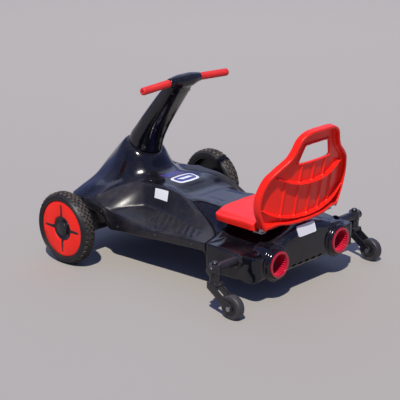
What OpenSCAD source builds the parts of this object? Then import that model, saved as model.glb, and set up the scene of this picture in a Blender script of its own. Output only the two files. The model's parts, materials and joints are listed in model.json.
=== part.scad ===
// Electric drift kart for children: two driven, steered front wheels and two rear casters.
// Sizes are in millimetres. Stations are measured from the front axle, forward is positive.

/* [Front wheels] */
// Outer radius of a front tyre, which is also the height of the front axle
wheel_r = 130; // [125:1:140]
// Width of a front tyre
tyre_w = 54; // [50:1:58]
// Height of a front tyre's section
tyre_h = 29; // [25:1:33]
// Distance from the middle of the kart to the outer face of a front tyre
track_half = 403; // [398:1:415]
// Distance from the outer face of a front tyre to its kingpin
kingpin_inset = 85; // [82:1:90]
// Radius of a kingpin
kingpin_r = 7; // [6:0.5:8]
// Radius of a front wheel axle
axle_r = 8; // [7:0.5:10]
// Length of a steering arm, kingpin to tie rod
steer_arm = 62; // [58:1:66]

/* [Body] */
// Distance from a kingpin to the side of the body
body_gap = 45; // [42:1:50]
// Height of the lowest face of the body ahead of the seat
belly_z = 120; // [116:1:124]
// Height of the lowest face of the body under the seat
tub_z = 80; // [76:1:90]
// Height of the skirt below the rim of a footwell
skirt_h = 30; // [24:1:34]
// Radius of the round collar that the steering column turns on
collar_r = 63; // [58:1:66]
// Station of the middle of the collar
collar_y = -18; // [-22:1:-14]
// Height of the middle of the collar
collar_z = 365; // [355:1:375]
// Rake of the steering axis from the vertical, in degrees
rake = 26; // [24:1:28]

/* [Steering column] */
// Station of the handlebar
bar_y = -220; // [-226:1:-214]
// Height of the handlebar
bar_z = 630; // [620:1:640]
// Distance from the middle to the inner end of a grip
grip_in = 77; // [70:1:84]
// Distance from the middle to the outer end of a grip
grip_out = 213; // [200:1:225]
// Radius of a grip
grip_r = 13.5; // [12:0.5:15]
// Radius of the steering shaft
shaft_r = 12; // [10:0.5:13]

/* [Seat] */
// Half width of the seat
seat_half_w = 186; // [176:1:190]
// Station of the front tip of the seat
seat_front = -505; // [-515:1:-495]
// Thickness of the seat at its edge
seat_edge = 32; // [26:1:36]
// Station of the seat back's rear face at its foot
back_foot_y = -785; // [-790:1:-780]
// Height of the foot of the seat back
back_foot_z = 236; // [232:1:240]
// Length of the seat back along its lean
back_len = 337; // [320:1:345]
// Lean of the seat back from the vertical, in degrees
back_lean = 10; // [6:1:12]
// Radius of the curve of the seat back in plan
back_curve = 600; // [500:10:700]
// Thickness of the seat back's panel
back_panel = 5; // [4:0.5:7]
// Depth of the seat back's ribs and border behind the front face
back_depth = 24; // [18:1:28]

/* [Rear] */
// Distance from the middle to a caster's swivel
caster_x = 365; // [360:1:372]
// Station of the casters' swivels
caster_y = -701; // [-706:1:-696]
// Height of the middle of a rear arm
arm_z = 150; // [146:1:154]
// Height of the boss that a caster swivels in
arm_h = 34; // [30:1:38]
// Radius of a rear arm's tube
arm_r = 16; // [14:0.5:18]
// Length of a rear arm past its swivel
arm_end = 30; // [26:1:34]
// Distance that a caster wheel trails behind its swivel
trail = 77; // [72:1:82]
// Radius of a caster wheel
caster_r = 40; // [36:1:42]
// Width of a caster wheel
caster_w = 28; // [24:1:30]
// Distance from the side of the body to a tail lamp
lamp_inset = 112; // [108:1:116]
// Height of a tail lamp
lamp_z = 132; // [128:1:136]
// Radius of a tail lamp's bulge in the bumper
bulge_r = 56; // [52:1:58]
// Radius of a tail lamp's red ring
lamp_r = 45; // [40:1:47]

/* [Fits] */
// Gap between pieces that seat on each other
seat_gap = 0.3; // [0.2:0.1:0.5]
// Radial gap of a pin that turns in a bore
run_gap = 0.05; // [0.02:0.01:0.1]

/* [Hidden] */
$fn = 48;
// Top of the glossy shell without the neck.
// Columns: station, half width of the shell, then the height at the middle and at each
// quarter of the half width, the last one at the seam.
SHELL = [
    [168, 70, 196, 195, 190, 182, 168],
    [158, 130, 236, 232, 222, 205, 180],
    [142, 190, 249, 245, 233, 214, 188],
    [120, 236, 256, 252, 243, 226, 204],
    [80, 262, 262, 258, 250, 234, 210],
    [40, 271, 266, 262, 256, 240, 212],
    [22, 269, 267, 264, 257, 241, 212],
    [5, 262, 268, 265, 259, 243, 216],
    [-30, 245, 271, 268, 262, 248, 226],
    [-55, 175, 273, 271, 267, 258, 243],
    [-80, 130, 275, 274, 271, 264, 252],
    [-120, 110, 277, 276, 274, 268, 260],
    [-190, 110, 275, 275, 273, 270, 267],
    [-250, 110, 269, 269, 267, 265, 268],
    [-278, 110, 255, 255, 254, 256, 264],
    [-300, 111, 246, 246, 246, 248, 258],
    [-360, 112, 245, 245, 245, 244, 238],
    [-415, 120, 245, 245, 245, 240, 213],
    [-480, 140, 244, 244, 244, 236, 186],
    [-535, 185, 236, 236, 234, 196, 171],
    [-560, 255, 231, 230, 196, 178, 175],
    [-585, 262, 230, 230, 184, 178, 177],
    [-663, 257, 229, 228, 182, 177, 175],
    [-710, 257, 229, 226, 186, 177, 168],
    [-745, 257, 237, 222, 204, 182, 166],
    [-768, 254, 228, 217, 200, 177, 160],
    [-778, 248, 208, 201, 186, 166, 150],
    [-782, 240, 190, 186, 172, 154, 140]
];
nose_y = SHELL[0][0];
tail_y = SHELL[len(SHELL) - 1][0];
bead_r = wheel_r - tyre_h;
collar_gap = 1.8;
pin_r = 4;
// The origin is under the middle of the kart's length.
back_rear_y = back_foot_y + back_depth * (1 - cos(back_lean)) - back_len * sin(back_lean);
axle_y = -(nose_y + back_rear_y) / 2;
kingpin_x = track_half - kingpin_inset;
body_half_w = kingpin_x - body_gap;
lamp_x = body_half_w - lamp_inset;
// The body's tables are drawn at this half width.
drawn_half_w = 273;
wide = body_half_w / drawn_half_w;
// Station where the underside starts to fall to the tub
tub_front = -540;

// Smooth value of one column of a table at y, whose rows are sorted by falling y
function row_at(t, y, i = 0) = i >= len(t) - 2 || y >= t[i + 1][0] ? i : row_at(t, y, i + 1);
function slope_at(t, c, i) =
    let (a = max(i - 1, 0), b = min(i + 1, len(t) - 1)) (t[b][c] - t[a][c]) / (t[b][0] - t[a][0]);
function smooth_at(t, c, y) =
    let (
        i = row_at(t, y), h = t[i + 1][0] - t[i][0], s = (y - t[i][0]) / h,
        m0 = slope_at(t, c, i) * h, m1 = slope_at(t, c, i + 1) * h
    )
    t[i][c] * (2 * s^3 - 3 * s^2 + 1) + m0 * (s^3 - 2 * s^2 + s)
        + t[i + 1][c] * (3 * s^2 - 2 * s^3) + m1 * (s^3 - s^2);

// Smooth path through points, with n steps to each and without the last one
function path(p, n) = [
    for (i = [0:len(p) - 2], j = [0:n - 1])
        let (s = j / n, a = p[max(i - 1, 0)], b = p[i], c = p[i + 1], d = p[min(i + 2, len(p) - 1)])
        b * (2 * s^3 - 3 * s^2 + 1) + (c - a) / 2 * (s^3 - 2 * s^2 + s)
            + c * (3 * s^2 - 2 * s^3) + (d - b) / 2 * (s^3 - s^2)
];
// Right half of an outline, made whole
function both_sides(p) = concat(p, [for (i = [len(p) - 1:-1:0]) if (p[i][0] > 0.01) [-p[i][0], p[i][1]]]);
// Outline moved inwards by d, for points in anticlockwise order
function inset(p, d) = [
    for (i = [0:len(p) - 1])
        let (a = p[(i + len(p) - 1) % len(p)], b = p[(i + 1) % len(p)], t = (b - a) / norm(b - a))
        p[i] + d * [-t[1], t[0]]
];

// Solid between rings of equally many points, the same on the left and on the right
module loft(rings) {
    n = len(rings[0]);
    last = len(rings) - 1;
    points = [for (r = rings) each r];
    sides = [
        for (i = [0:last - 1], j = [0:n - 1])
            let (a = i * n + j, b = i * n + (j + 1) % n)
            each rings[i][j][0] + rings[i][(j + 1) % n][0] < 0
                ? [[a, b, a + n], [b, b + n, a + n]] : [[a, b, b + n], [a, b + n, a + n]]
    ];
    caps = [[for (j = [n - 1:-1:0]) j], [for (j = [0:n - 1]) last * n + j]];
    polyhedron(points, concat(sides, caps));
}

// Reach of the neck's flare ahead of, beside and behind the collar
flare_front = 118;
flare_side = 52;
flare_rear = 31;
shell_stations = [
    168, 163, 158, 150, 142, 131, 120, 106, 92, 78, 64, 52, 40, 30, 22, 14, 5, -8, -20, -30, -38,
    -47, -55, -63, -70, -75, -80, -86, -94, -105, -120, -150, -190, -230, -250, -266, -280,
    -300, -330, -365, -400, -435, -470, -505, -535, -540, -548, -560, -585, -625, -663, -710, -730, -745,
    -758, -768, -774, -778, -782
];
shell_steps = 14;

// Height of the underside, which rises at the nose and at the tail
nose_rise = 8;
tail_rise = 12;
rise_len = 20;
tub_slope = 45;
function belly_at(y) =
    y > tub_front ? belly_z + nose_rise * max(0, (y - nose_y) / rise_len + 1)
    : max(tub_z, belly_z + (y - tub_front) / tub_slope * (belly_z - tub_z))
        + tail_rise * max(0, (tail_y - y) / rise_len + 1);
function shell_w(y) = smooth_at(SHELL, 1, y) * wide;
function base_top(f, y) =
    let (
        q = min(floor(f * 4), 3), s = f * 4 - q,
        p = [for (k = [max(q - 1, 0), q, q + 1, min(q + 2, 4)]) smooth_at(SHELL, 2 + k, y)],
        before = q == 0 ? p[2] : p[0],
        m0 = (p[2] - before) / 2, m1 = (p[3] - p[1]) / (q == 3 ? 1 : 2)
    )
    p[1] * (2 * s^3 - 3 * s^2 + 1) + m0 * (s^3 - 2 * s^2 + s)
        + p[2] * (3 * s^2 - 2 * s^3) + m1 * (s^3 - s^2);
// Height of the collar's plane, which is square to the steering axis
function collar_plane(y) = collar_z + (y - collar_y) * tan(rake);
function neck_top(x, y, base) =
    let (
        dy = (y - collar_y) / cos(rake), r = norm([x, dy]), d = max(0, r - collar_r),
        ex = d * x / max(r, 1), ey = d * dy / max(r, 1), reach = ey > 0 ? flare_front : flare_rear,
        rim_y = collar_y + min(max(dy, -collar_r), collar_r) * cos(rake) * min(1, collar_r / max(r, 1)),
        fall = exp(-(ex / (ey > 0 ? flare_side : flare_rear + 8))^2 - (ey / reach)^2)
    )
    base + (collar_plane(d > 0 ? rim_y : y) - base) * fall;
// Round back over a tail lamp, which fades in behind the seat
hump_wall = 8;
hump_start = -690;
hump_ease = 30;
function lamp_top(x, y) =
    let (r = bulge_r + hump_wall, dx = min(abs(x - lamp_x), r * 0.8), s = min(max((hump_start - y) / hump_ease, 0), 1))
    (lamp_z + sqrt(r^2 - dx^2)) * s * s * (3 - 2 * s);
function soft_max(a, b) = let (d = a - b) (a + b + sqrt(d^2 + hump_wall^2 / 2)) / 2;
function shell_top(f, y) =
    let (x = f * shell_w(y), z = neck_top(x, y, base_top(f, y)))
    y > hump_start ? z : soft_max(z, lamp_top(x, y)) - hump_wall / 3 * max(0, 1 - abs(z - lamp_top(x, y)) / 20);
function shell_ring(y) =
    let (w = shell_w(y), z0 = belly_at(y))
    concat(
        [for (j = [-shell_steps:shell_steps])
            [j / shell_steps * w, y, shell_top(abs(j / shell_steps), y)]],
        [[w, y, z0], [-w, y, z0]]
    );

module placed() translate([0, axle_y, 0]) children();
module on_side(s) if (s > 0) children(); else mirror([1, 0, 0]) children();
// Moves children from the steering axis, drawn upright, to its place
module on_steer_axis() translate([0, collar_y, collar_z]) rotate([rake, 0, 0]) children();

module body_shell() {
    color([0.02, 0.02, 0.03]) placed() difference() {
        loft([for (y = shell_stations) shell_ring(y)]);
        on_steer_axis() translate([0, 0, -cut_len]) cylinder(r = head_tube_r + seat_gap, h = cut_len + collar_r);
        translate([0, 0, deck_z]) linear_extrude(cut_len) seat_plan(0.5);
        battery_pocket();
        for (s = [-1, 1]) translate([s * lamp_x, tail_y + lamp_pocket, lamp_z]) lamp_socket();
        for (i = [-2:2]) translate([i * vent_pitch, tail_y, vent_z]) vent();
    }
}
// Pocket with a chamfered end that a lamp housing seats in
module lamp_socket() rotate([90, 0, 0]) hull() {
    cylinder(r = bulge_r + seat_gap, h = lamp_pocket + 20);
    translate([0, 0, -3]) cylinder(r = bulge_r - 6, h = 10);
}
module battery_pocket() translate([0, 0, -1]) hatch_form(3, tub_z + hatch_t + battery[2] + 4);
// Block with round corners over the battery's outline, grown by r
module hatch_form(r, h) hull() for (x = [-1, 1], y = [0, 1])
    translate([x * battery[0] / 2, battery_y + y * battery[1], 0]) cylinder(r = r, h = h);
// Cooling slot in the bumper
module vent() hull() for (x = [-1, 1]) translate([x * 10, 12, 0]) rotate([90, 0, 0]) cylinder(r = 3.5, h = 30, $fn = 24);
vent_pitch = 34;
vent_z = 100;
head_tube_r = shaft_r + 5;
// Length of a cut that passes through the whole body
cut_len = 400;
lamp_pocket = 60;
// Flat pad that the seat is bolted on
deck_z = 228;
// Battery, a plain block in a pocket of the tub, with a hatch under it
battery = [180, 120, 70];
battery_y = -715;
hatch_t = 4;

// Side cover with the footwell.
// Columns: station, then half width and height at the knee, wall foot, floor edge and rim.
COVER = [
    [22, 270.3, 211.8, 271.4, 211.4, 272.3, 210.6, 273, 209],
    [5, 265, 215, 269, 212.5, 271.5, 209, 273, 205],
    [-30, 252, 225, 262, 217, 268, 208, 273, 201],
    [-58, 192, 246, 262, 210, 268.5, 203, 273, 196],
    [-82, 162, 257, 262, 200, 269, 192, 273, 186],
    [-92, 156, 262, 258, 198, 266, 188, 273, 168],
    [-109, 150, 266, 246, 196, 263, 184, 273, 152],
    [-147, 150, 272, 200, 199, 261, 181, 272, 153],
    [-182, 145, 271, 166, 200, 260, 178, 271, 155],
    [-269, 135, 270, 157, 193, 257, 169, 269, 158],
    [-330, 130, 256, 165, 189, 254, 166, 267, 163],
    [-415, 134, 214, 178, 184, 252, 171, 265, 168],
    [-480, 152, 190, 190, 181, 250, 174, 264, 172],
    [-535, 192, 177, 205, 177, 250, 176, 263, 175],
    [-560, 257, 176.5, 259, 176.3, 261, 176, 262.5, 175.5]
];
cover_stations = [
    22, 14, 5, -8, -20, -30, -38, -47, -55, -63, -70, -75, -80, -86, -94, -105, -120, -150, -190, -230, -250,
    -266, -280, -300, -330, -365, -400, -435, -470, -505, -535, -540, -548, -560
];
cover_ease = 0.25;
cover_steps = 5;
function cover_point(y, k) =
    k == 0 ? [shell_w(y), shell_top(1, y)]
        : [smooth_at(COVER, 2 * k - 1, y) * wide, smooth_at(COVER, 2 * k, y)];
function cover_ring(y) =
    let (
        rim = cover_point(y, 4),
        top = [
            for (k = [0:3], j = [0:cover_steps - 1])
                let (
                    s = j / cover_steps, a = cover_point(y, max(k - 1, 0)), b = cover_point(y, k),
                    c = cover_point(y, k + 1), d = cover_point(y, min(k + 2, 4)),
                    m0 = (c - a) * cover_ease, m1 = (d - b) * cover_ease,
                    p = b * (2 * s^3 - 3 * s^2 + 1) + m0 * (s^3 - 2 * s^2 + s)
                        + c * (3 * s^2 - 2 * s^3) + m1 * (s^3 - s^2)
                )
                [max(p[0], shell_w(y) + 0.1 * j * (k == 0 ? 1 : 0)), y, p[1]]
        ]
    )
    concat(
        top,
        [[rim[0], y, rim[1]], [rim[0], y, rim[1] - skirt_h], [shell_w(y), y, belly_at(y)]]
    );
module side_cover(s) {
    color([0.06, 0.06, 0.065]) placed() on_side(s) loft([for (y = cover_stations) cover_ring(y)]);
}

beam_h = 26;
beam_w = 40;
knuckle_gap = 1;
sleeve_h = 46;
// Height of the sleeves' middle above the body's lowest face
sleeve_rise = 10;
sleeve_r = 17;
beam_z = belly_z - beam_h - seat_gap;
sleeve_z = belly_z + sleeve_rise - sleeve_h / 2;
// The beam ends short of the knuckles, which turn below its upper face.
beam_x = kingpin_x - sleeve_r - 11;
module chassis_frame() {
    color([0.05, 0.05, 0.05]) placed() {
        difference() {
            union() {
                translate([-beam_x, -beam_w / 2, beam_z]) cube([2 * beam_x, beam_w, beam_h]);
                translate([-kingpin_x, -sleeve_r, sleeve_z + 1])
                    cube([2 * kingpin_x, 2 * sleeve_r, beam_z + beam_h - sleeve_z - 1]);
                translate([-beam_w / 2, tub_front + 5, beam_z]) cube([beam_w, -tub_front - 5, beam_h]);
                for (s = [-1, 1]) translate([s * kingpin_x, 0, sleeve_z]) cylinder(r = sleeve_r, h = sleeve_h);
                on_steer_axis() translate([0, 0, -head_tube_end]) cylinder(r = head_tube_r, h = head_tube_end - 10);
                translate([-15, 0, beam_z]) cube([30, gusset_y, beam_h]);
            }
            for (s = [-1, 1]) translate([s * kingpin_x, 0, sleeve_z - 1])
                cylinder(r = kingpin_r + run_gap, h = sleeve_h + 2);
            on_steer_axis() translate([0, 0, -cut_len]) cylinder(r = shaft_r + run_gap, h = cut_len);
        }
    }
}
// Depth of the head tube's lower end below the body, and of the crank below that
tube_drop = 11;
crank_drop = 15;
head_tube_end = (collar_z - belly_z + tube_drop) / cos(rake);
shaft_len = head_tube_end + crank_drop;
gusset_y = 100;
module battery_box() {
    color([0.1, 0.1, 0.1]) placed()
        translate([-battery[0] / 2, battery_y, tub_z + hatch_t]) cube(battery);
}
module battery_hatch() {
    color([0.05, 0.05, 0.05]) placed() translate([0, 0, tub_z]) hatch_form(3 - seat_gap, hatch_t);
}

boss_r = 19;
flange_r = 25;
flange_t = 5;
module arm(s) {
    color([0.04, 0.04, 0.045]) placed() on_side(s) difference() {
        union() {
            translate([shell_w(caster_y) + seat_gap, caster_y, arm_z]) rotate([0, 90, 0])
                rotate_extrude() polygon(concat(
                    [[0, 0], [flange_r, 0], [flange_r, flange_t], [arm_r, flange_t + 4]],
                    [for (a = [0:15:90]) [arm_r / 2 * (1 + cos(a)), arm_len + arm_r / 2 * (sin(a) - 1)]],
                    [[0, arm_len]]
                ));
            translate([caster_x, caster_y, arm_z - arm_h / 2]) cylinder(r = boss_r, h = arm_h);
        }
        translate([caster_x, caster_y, arm_z - arm_h]) cylinder(r = swivel_r + run_gap, h = 2 * arm_h);
    }
}
arm_len = caster_x + arm_end - shell_w(caster_y) - seat_gap;
swivel_r = 6;

// Distance that a lamp stands out of the tail
lamp_out = 16;
lamp_face_y = tail_y - lamp_out;
lamp_hole_r = 22;
module on_lamp(s, y) placed() on_side(s) translate([lamp_x, y, lamp_z]) rotate([90, 0, 0]) children();
module lamp_housing(s) {
    color([0.03, 0.03, 0.035]) on_lamp(s, tail_y + lamp_pocket - seat_gap) difference() {
        rotate_extrude() polygon([
            [0, 0], [bulge_r, 0], [bulge_r, housing_len - 12], [bulge_r - 1.5, housing_len - 6],
            [bulge_r - 5, housing_len - 1.5], [bulge_r - 8, housing_len], [0, housing_len]
        ]);
        translate([0, 0, housing_len - lamp_depth]) cylinder(r = lamp_r + seat_gap, h = lamp_depth + 1);
    }
}
housing_len = tail_y + lamp_pocket - seat_gap - lamp_face_y;
lamp_depth = 44;
lamp_floor = 9;
module lamp_ring(s) {
    color([0.55, 0.02, 0.05]) on_lamp(s, lamp_face_y + lamp_depth) rotate_extrude() polygon([
        [lamp_hole_r, 0], [lamp_r, 0], [lamp_r, lamp_depth + 2], [lamp_r - 2, lamp_depth + 4],
        [lamp_r - 7, lamp_depth + 4], [lamp_r - 9, lamp_depth + 1], [lamp_hole_r + 9, lamp_floor],
        [lamp_hole_r, lamp_floor]
    ]);
}
module lamp_core(s) {
    color([0.03, 0.01, 0.01]) on_lamp(s, lamp_face_y + lamp_depth) rotate_extrude() polygon([
        [0, 0], [lamp_hole_r - seat_gap, 0], [lamp_hole_r - seat_gap, lamp_floor],
        [lamp_hole_r - 4, lamp_floor + 4], [0, lamp_floor + 6]
    ]);
}

// Seat. Columns: distance back from its front tip, share of the half width, height of the
// middle, height of the edge.
SEAT = [
    [0, 0.40, 263, 260],
    [-8, 0.74, 263, 260],
    [-22, 0.93, 262, 260],
    [-60, 0.99, 260, 261],
    [-110, 1, 257, 263],
    [-160, 1, 253, 264],
    [-195, 1, 252, 263],
    [-201, 0.91, 252, 263],
    [-207, 0.80, 253, 263],
    [-230, 0.76, 254, 261]
];
seat_stations = [0, -4, -8, -15, -22, -40, -60, -85, -110, -135, -160, -185, -197, -202, -207, -230];
seat_z = 231;
seat_steps = 6;
edge_drop = 8;
side_slope = 4;
function seat_w(y) = smooth_at(SEAT, 1, y) * seat_half_w;
function seat_ring(y) =
    let (w = seat_w(y), zm = smooth_at(SEAT, 2, y), ze = smooth_at(SEAT, 3, y))
    concat(
        [for (j = [-seat_steps:seat_steps]) let (f = abs(j / seat_steps))
            [j / seat_steps * w, y + seat_front, zm + (ze - zm) * f^2 - (f == 1 ? edge_drop : 0)]],
        [[w - side_slope, y + seat_front, seat_z], [side_slope - w, y + seat_front, seat_z]]
    );
// Outline of the seat from above, grown by a gap
module seat_plan(gap) polygon(both_sides(concat(
    [[0, seat_front + gap]],
    [for (y = seat_stations) if (y > -200) [seat_w(y) + gap, y + seat_front + (y == 0 ? gap : 0)]],
    [[seat_half_w + gap, seat_front - seat_len], [0, seat_front - seat_len]])));
seat_len = 233;
module seat_base() {
    color([0.85, 0.03, 0.03]) placed() loft([for (y = seat_stations) seat_ring(y)]);
}

// Right half of the seat back's outline: half width, share of the way up
BACK = [
    [0, 0.036], [80, 0.036], [140, 0.055], [172, 0.03], [184, 0.012], [193, 0.04], [206, 0.12], [218, 0.21],
    [223, 0.31], [220, 0.41], [209, 0.51], [194, 0.58], [160, 0.67], [130, 0.74], [113, 0.82],
    [102, 0.90], [88, 0.95], [66, 0.985], [36, 1], [0, 1]
];
HANDLE = [[0, 0.66], [72, 0.66], [79, 0.675], [76, 0.71], [62, 0.82], [54, 0.842], [0, 0.847]];
// Curves of the shelves across the back: half width, share of the way up
SHELF_LOW = [[0, 0.09], [60, 0.098], [120, 0.125], [170, 0.172], [205, 0.235]];
SHELF_HIGH = [[0, 0.44], [60, 0.45], [110, 0.485], [158, 0.545]];
outline = both_sides([for (q = path(BACK, 3)) [q[0], q[1] * back_len]]);
handle = both_sides([for (q = path(HANDLE, 3)) [q[0], q[1] * back_len]]);
border_w = 9;
rib_t = 4;
rib_depth = 11;
rim_w = 5;
rib_pitch = 60;
// Share of the way up that the middle rib and its neighbours reach
rib_tops = [0.65, 0.65, 0.49];
foot_d = 16;
// Distance up the back that its solid lower edge reaches
foot_band = 22;
sheet_over = 60;
back_sides = 120;
// Upright sheet with a round front face, between two distances behind that face
module back_sheet(inner, outer) translate([0, back_curve, -sheet_over / 3]) difference() {
    cylinder(r = back_curve + outer, h = back_len + sheet_over, $fn = back_sides);
    translate([0, 0, -1]) cylinder(r = back_curve + inner, h = back_len + sheet_over + 2, $fn = back_sides);
    translate([-2 * back_curve, -back_curve / 1.3, -1])
        cube([4 * back_curve, 3 * back_curve, back_len + sheet_over + 2]);
}
// Band along one of the shelf curves
module shelf(curve) {
    p = [for (q = concat(path(curve, 2), [curve[len(curve) - 1]])) [q[0], q[1] * back_len]];
    for (s = [-1, 1], i = [0:len(p) - 2]) hull() for (q = [p[i], p[i + 1]])
        translate([s * q[0], q[1]]) circle(d = rib_t, $fn = 8);
}
module on_back() translate([0, back_foot_y + back_depth, back_foot_z]) rotate([back_lean, 0, 0]) children();
module seat_back() {
    color([0.9, 0.04, 0.04]) placed() on_back() difference() {
        union() {
            intersection() {
                back_sheet(0, back_panel);
                upright() polygon(outline);
            }
            intersection() {
                back_sheet(back_panel - 1, back_depth);
                upright() difference() {
                    polygon(outline);
                    polygon([for (q = inset(outline, border_w)) [q[0], max(q[1], foot_band)]]);
                }
            }
            intersection() {
                back_sheet(back_panel - 1, back_depth - 3);
                upright() {
                    shelf(SHELF_LOW);
                    shelf(SHELF_HIGH);
                }
            }
            intersection() {
                back_sheet(back_panel - 1, rib_depth);
                upright() {
                    for (i = [-2:2]) translate([i * rib_pitch - rib_t / 2, foot_d])
                        square([rib_t, rib_tops[abs(i)] * back_len - foot_d]);
                    polygon(inset(handle, -rim_w));
                }
            }
        }
        upright() polygon(handle);
    }
}
// Stands a flat outline up across the seat back
module upright() translate([0, back_curve / 3, 0]) rotate([90, 0, 0]) linear_extrude(2 * back_curve / 3) children();

strap_t = seat_z - deck_z;
strap_y = -725;
lug_x = 184;
strap_w = 22;
tab_h = 42;
module seat_brackets() {
    color([0.5, 0.5, 0.52]) placed() {
        translate([-lug_x, strap_y, deck_z]) cube([2 * lug_x, strap_w, strap_t]);
        for (s = [-1, 1]) on_side(s) {
            translate([lug_x - strap_w, tab_y, deck_z]) cube([strap_w, strap_y + strap_w - tab_y, strap_t]);
            intersection() {
                on_back() back_sheet(-strap_t - seat_gap, -seat_gap);
                translate([lug_x - strap_w, tab_y - strap_w, deck_z]) cube([strap_w, 3 * strap_w, tab_h]);
            }
        }
    }
}
// Station of the rear end of the plates that the tabs stand on, under the back's curved face
tab_y = back_foot_y + back_depth + back_curve - sqrt(back_curve^2 - (lug_x - strap_w)^2) - 1;

// Column sections. Columns: station, height, half width, half depth, tilt in degrees.
COLUMN = [
    [collar_y - collar_gap * sin(rake), collar_z + collar_gap * cos(rake), collar_r, collar_r, rake, 2],
    [-30, 392, 61, 58, 27, 2.1],
    [-46, 417, 60, 50, 29, 2.3],
    [-76, 460, 59, 42, 32, 2.6],
    [-110, 504, 58, 37, 34, 2.8],
    [-150, 554, 57, 33, 36, 2.8],
    [-185, 596, 56, 30, 36, 2.6],
    [-204, 618, 54, 26, 34, 2.4]
];
// Handlebar sections. Columns: distance from the middle, centre above the grips, half height,
// half depth.
BAR = [[0, -2, 25, 25], [28, -2, 25, 24], [52, 0, 20, 20], [66, 0.5, 17, 17], [grip_in - 2 * seat_gap, 0, 16, 16]];
slice_t = 0.4;
slice_steps = 36;
module column_slice(r) translate([0, r[0], r[1]]) rotate([r[4], 0, 0]) linear_extrude(slice_t) polygon([
    for (i = [0:slice_steps - 1]) let (a = 360 * i / slice_steps, e = 2 / r[5])
        [r[2] * sign(cos(a)) * abs(cos(a))^e, r[3] * sign(sin(a)) * abs(sin(a))^e]]);
module bar_slice(r) translate([r[0] - slice_t, bar_y, bar_z + r[1]]) rotate([0, 90, 0])
    scale([r[2] / grip_r, r[3] / grip_r, 1]) cylinder(r = grip_r, h = slice_t, $fn = 32);
module steering_column() {
    last = COLUMN[len(COLUMN) - 1];
    color([0.02, 0.02, 0.03]) placed() {
        for (i = [0:len(COLUMN) - 2]) hull() {
            column_slice(COLUMN[i]);
            column_slice(COLUMN[i + 1]);
        }
        for (s = [-1, 1], i = [0:len(BAR) - 2]) on_side(s) hull() {
            bar_slice(BAR[i]);
            bar_slice(BAR[i + 1]);
        }
        for (s = [-1, 1]) on_side(s) hull() {
            intersection() {
                column_slice(last);
                translate([0, -1000, 0]) cube([1000, 2000, 2000]);
            }
            bar_slice(BAR[0]);
            bar_slice(BAR[1]);
        }
    }
}
grip_sweep = 3;
grip_droop = 2;
grip_len = grip_out - grip_in;
module grip(s) {
    color([0.85, 0.03, 0.03]) placed() on_side(s) translate([grip_in, bar_y, bar_z])
        rotate([0, 90 + grip_droop, -grip_sweep]) difference() {
            rotate_extrude() polygon([[0, 0.7], [grip_r, 0.7], [grip_r, grip_len - 3], [grip_r - 3, grip_len], [0, grip_len]]);
            translate([0, 0, grip_len - 12]) cylinder(r = 3, h = 20);
        }
}
crank_len = steer_arm / 2;
crank_t = 8;
crank_w = 28;
slot_half = pin_r + 3;
module steering_shaft() {
    color([0.5, 0.5, 0.52]) placed() on_steer_axis() difference() {
        union() {
            translate([0, 0, -shaft_len]) cylinder(r = shaft_r, h = shaft_len + collar_gap);
            translate([-crank_w / 2, -crank_w / 2, -shaft_len - crank_t])
                cube([crank_w, crank_w / 2 + crank_len + 12, crank_t]);
        }
        translate([-slot_half, crank_len - 10, -shaft_len - 2 * crank_t])
            cube([2 * slot_half, 40, 3 * crank_t]);
    }
}

rod_y = steer_arm;
// Depth of the tie rod below the crank
rod_drop = 17.4;
rod_z = collar_z - shaft_len * cos(rake) - rod_drop;
crank_pin_y = collar_y + shaft_len * sin(rake) + crank_len * cos(rake);
rod_r = 6;
pivot_r = 5;
module tie_rod() {
    color([0.45, 0.45, 0.47]) placed() difference() {
        union() {
            translate([-kingpin_x, rod_y, rod_z]) rotate([0, 90, 0]) cylinder(r = rod_r, h = 2 * kingpin_x);
            for (s = [-1, 1]) translate([s * kingpin_x, rod_y, rod_z - 8]) cylinder(r = 13, h = 16);
            translate([-12, rod_y, rod_z - rod_r]) cube([24, crank_pin_y - rod_y + 10, rod_r]);
            translate([0, crank_pin_y, rod_z - rod_r]) cylinder(r = pin_r, h = 40);
        }
        translate([-kingpin_x, rod_y, rod_z - 20]) cylinder(r = pivot_r + run_gap, h = 40);
        translate([kingpin_x, rod_y, rod_z - 20]) cylinder(r = pivot_r + 2, h = 40);
    }
}

ear_h = 10;
wheel_in_x = track_half - tyre_w;
module knuckle(s) {
    color([0.06, 0.06, 0.06]) placed() on_side(s) {
        translate([kingpin_x, 0, sleeve_z - ear_h - knuckle_gap]) {
            difference() {
                union() {
                    for (z = [0, sleeve_h + ear_h + 2 * knuckle_gap]) translate([0, 0, z]) {
                        cylinder(r = sleeve_r, h = ear_h);
                        translate([0, -14, 0]) cube([28, 28, ear_h]);
                    }
                    cylinder(r = kingpin_r, h = sleeve_h + 2 * ear_h + 2 * knuckle_gap);
                    translate([sleeve_r + 4, -20, 0]) cube([8, 40, sleeve_h + 2 * ear_h + 2 * knuckle_gap]);
                    translate([-11, 0, 0]) cube([22, steer_arm, ear_h]);
                    translate([0, steer_arm, 0]) cylinder(r = 11, h = ear_h);
                    translate([0, steer_arm, rod_z - 12 - sleeve_z + ear_h + knuckle_gap])
                        cylinder(r = pivot_r, h = sleeve_z - ear_h - knuckle_gap - rod_z + 14);
                }
            }
        }
        translate([kingpin_x + sleeve_r + 4, 0, wheel_r]) rotate([0, 90, 0])
            cylinder(r = axle_r, h = track_half - 14 - kingpin_x - sleeve_r - 4);
    }
}
module drive_unit(s) {
    color([0.07, 0.07, 0.07]) placed() on_side(s)
        translate([kingpin_x + sleeve_r + 12.3, 0, wheel_r]) rotate([0, 90, 0]) difference() {
            rotate_extrude() polygon([[0, 0], [44, 0], [48, 4], [48, 24], [0, 24]]);
            translate([0, 0, -1]) cylinder(r = axle_r + seat_gap, h = 40);
        }
}

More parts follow.
